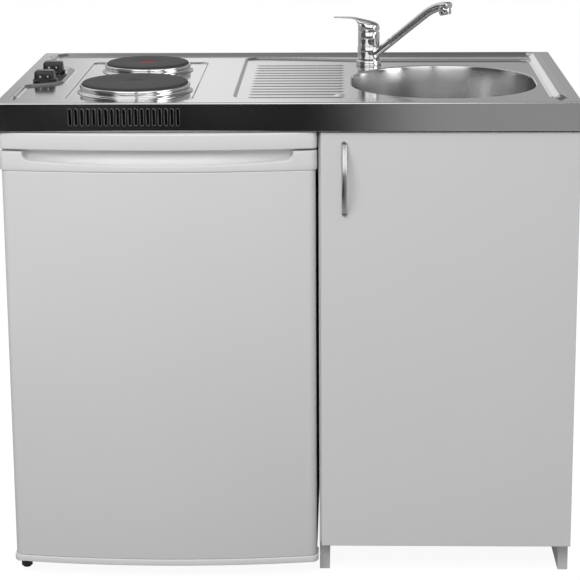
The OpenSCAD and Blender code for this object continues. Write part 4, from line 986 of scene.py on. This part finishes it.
def grip_places():
    """Places across the strip, closer together at the recess's corners."""
    corner = [RECESS_CORNER * (1 - cos(radians(a))) for a in steps(0, 90, 8)]
    xs = steps(GRIP_X0 + GRIP_R, RECESS_X0, 8)[:-1] + [RECESS_X0 - 0.3]
    xs += [RECESS_X0 + 0.3 + d for d in corner]
    xs += steps(RECESS_X0 + RECESS_CORNER + 3, RECESS_X1 - RECESS_CORNER - 3, 60)
    xs += [RECESS_X1 - 0.3 - d for d in reversed(corner)] + [RECESS_X1 + 0.3]
    return xs + steps(RECESS_X1, GRIP_X1 - GRIP_R, 8)[1:]


def grip_column(x):
    """The strip's outline at one place across it."""
    line = recess_profile(x) if RECESS_X0 < x < RECESS_X1 else plain_profile()
    ring = [(x, front_y(x) + d, h) for d, h in line]
    return ring + [(x, DOOR_DEPTH, GRIP_TOP), (x, DOOR_DEPTH, GRIP_LOW)]


def grip_corner(centre_x, first):
    """Outlines round one of the strip's front corners."""
    rings = []
    centre_y = front_y(GRIP_X0 + GRIP_R) + GRIP_R
    for a in steps(first, first + 90, 10):
        c, s = cos(radians(a)), sin(radians(a))
        ring = [(centre_x + c * (GRIP_R - d), centre_y + s * (GRIP_R - d), h) for d, h in plain_profile()]
        back_x = centre_x + (GRIP_R - 0.5) * c
        rings.append(ring + [(back_x, DOOR_DEPTH, GRIP_TOP), (back_x, DOOR_DEPTH, GRIP_LOW)])
    return rings


def door_grip():
    """The moulded strip on top of the door, with its smile-shaped finger recess."""
    rings = grip_corner(GRIP_X0 + GRIP_R, 180)
    rings += [grip_column(x) for x in grip_places()]
    rings += grip_corner(GRIP_X1 - GRIP_R, 270)
    show("door_grip", Shape().loft(rings), FINISHES["white_plastic"], "fridge_door", "white_plastic",
         "fridge_handle_strip", angle=34)


def fridge_front():
    bowed_part("door_skin", DOOR_SKIN, DOOR_DEPTH, 14, 2.2, 4, "white_enamel", "fridge_door",
               "fridge_door_panel")
    door_grip()
    bowed_part("door_foot_trim", FOOT_TRIM, DOOR_DEPTH, 14, 1.6, 3, "white_plastic", "fridge_door",
               "fridge_bottom_trim")
    bowed_part("top_fascia", FASCIA, FASCIA_DEPTH, 12, 2.6, 4, "white_plastic", "base", "fridge_fascia")


# ---------- Studio ----------

FLOOR_HALF = 20000


def floor():
    """A white floor that keeps the shadow. Metal sees bright and dark areas on it instead."""
    corners = [(u * FLOOR_HALF, v * FLOOR_HALF, 0) for u, v in ((-1, -1), (1, -1), (1, 1), (-1, 1))]
    mesh = Shape().add(corners, [(0, 1, 2, 3)]).mesh("studio_floor")
    f = new_finish("studio_floor")
    x, y, z = f.parts(f.place())
    front = 1 - y.soft(-1.2, -0.3)
    dark = 0.012 + (x.soft(0.07, 0.42) - x.soft(1.8, 2.6) * 0.8) * 0.36
    glow = (1 - (x + 1.05).size().soft(0.0, 0.35) + (1 - (x + 0.44).size().soft(0.0, 0.25)) * 0.7) * 0.07
    glow = glow * (1 - y.soft(-5.3, -4.7))
    left = (x.soft(-4.7, -4.0) - x.soft(-1.5, -1.2)) * y.soft(-4.5, -4.2)
    side = x.soft(4.2, 4.5) + (1 - x.soft(-4.9, -4.5))
    picture = (dark + glow + left * 0.85 + side * 0.4) * front + (1 - front) * 0.4
    plain = f.node("ShaderNodeBsdfDiffuse", inputs={"Color": grey(0.34)})
    mirror = f.node("ShaderNodeEmission", inputs={"Color": grey(1), "Strength": picture})
    white = f.node("ShaderNodeEmission", inputs={"Color": grey(1), "Strength": 0.93})
    shadow = f.node("ShaderNodeBsdfDiffuse", inputs={"Color": grey(0.16)})
    lit = f.node("ShaderNodeAddShader", inputs={0: white, 1: shadow})
    f.end(f.by_ray(plain, mirror, lit))
    ground = bpy.data.objects.new("studio_floor", mesh)
    bpy.context.scene.collection.objects.link(ground)
    mesh.materials.append(f.owner)


def surroundings():
    """White to the camera, plain for diffuse light, and a soft studio picture for metal."""
    world = bpy.data.worlds.new("studio")
    bpy.context.scene.world = world
    world.use_nodes = True
    f = Finish(world)
    x, y, z = f.parts(f.place("Generated"))
    behind = y.soft(-0.15, 0.15)
    middle = x.soft(-0.19, -0.085) * (1 - x.soft(-0.065, 0.05))
    band = 1 - z.soft(0.22, 0.50)
    high = 0.18 + middle * 0.12 + (1 - x.soft(-0.19, -0.10)) * 0.55
    rear = (0.42 + middle * 0.53) * band + (1 - band) * high
    notch = 1 - (1 - (x - 0.12).size().soft(0.02, 0.07)) * 0.75
    lamp = (1 - (x - 0.05).size().soft(0.48, 0.70)) * notch * z.soft(0.08, 0.18) * (1 - z.soft(0.75, 0.92))
    side_lamp = (1 - (x - 0.86).size().soft(0.05, 0.12)) * (1 - z.soft(0.55, 0.7))
    front = 0.10 + lamp * 1.5 + side_lamp * 3.0
    overhead = z.soft(0.90, 0.98)
    picture = (rear * behind + front * (1 - behind)) * (1 - overhead) + overhead * 0.7
    plain = f.node("ShaderNodeBackground", inputs={"Color": grey(0.42), "Strength": 1.0})
    mirror = f.node("ShaderNodeBackground", inputs={"Color": grey(1), "Strength": picture})
    white = f.node("ShaderNodeBackground", inputs={"Color": grey(1), "Strength": 1.0})
    f.end(f.by_ray(plain, mirror, white), "ShaderNodeOutputWorld")


def softbox(name, place, target, width, height, power):
    """A soft lamp that isn't seen in reflections, as the surroundings' picture stands in for it."""
    lamp = bpy.data.lights.new(name, "AREA")
    lamp.shape, lamp.size, lamp.size_y, lamp.energy = "RECTANGLE", width, height, power
    box = bpy.data.objects.new(name, lamp)
    bpy.context.scene.collection.objects.link(box)
    box.location = place
    box.rotation_euler = (Vector(target) - Vector(place)).to_track_quat("-Z", "Y").to_euler()
    box.visible_glossy = False


CAMERA_AT = (0.09959, -3.6300, 1.42788)
CAMERA_TILT, CAMERA_YAW, CAMERA_ROLL = 0.2317, 0.0289, 0.0067  # radians


def camera():
    lens = bpy.data.cameras.new("camera")
    lens.sensor_width, lens.lens = 36, 123.80
    lens.shift_x, lens.shift_y = 0, -0.1
    lens.clip_end = 100
    eye = bpy.data.objects.new("camera", lens)
    bpy.context.scene.collection.objects.link(eye)
    eye.location = CAMERA_AT
    turn = (Matrix.Rotation(CAMERA_YAW, 3, "Z") @ Matrix.Rotation(pi / 2 - CAMERA_TILT, 3, "X")
            @ Matrix.Rotation(-CAMERA_ROLL, 3, "Z"))
    eye.rotation_euler = turn.to_euler()
    bpy.context.scene.camera = eye


camera()
surroundings()
floor()
softbox("key", (-0.7, -2.7, 2.6), (0, -0.2, 0.45), 2.6, 1.8, 62)
softbox("top", (0.3, 0.6, 2.7), (0, 0, 0.8), 2.4, 1.6, 22)
worktop()
for plate in PLATES:
    hotplate(*plate)
for control in KNOBS:
    knob(*control)
    knob_marks(*control)
mixer_body()
spout()
aerator()
cartridge()
lever()
cupboard_sides()
cupboard_door()
bow_handle()
fridge_front()

# The CAD pieces that stay as they are get the finish of their record's slot, except the hob tray, which gets
# near-black steel as painted shade behind the vent slots.
for part in frame["record"]["subparts"]:
    tray_in_shade = part["node"] == "hob_tray"
    for slot in frame["nodes"][part["node"]].material_slots:
        slot.material = SHADE_BLACK_STEEL if tray_in_shade else FINISHES[part["material_slot"]]

bpy.context.scene.view_settings.view_transform = "Standard"
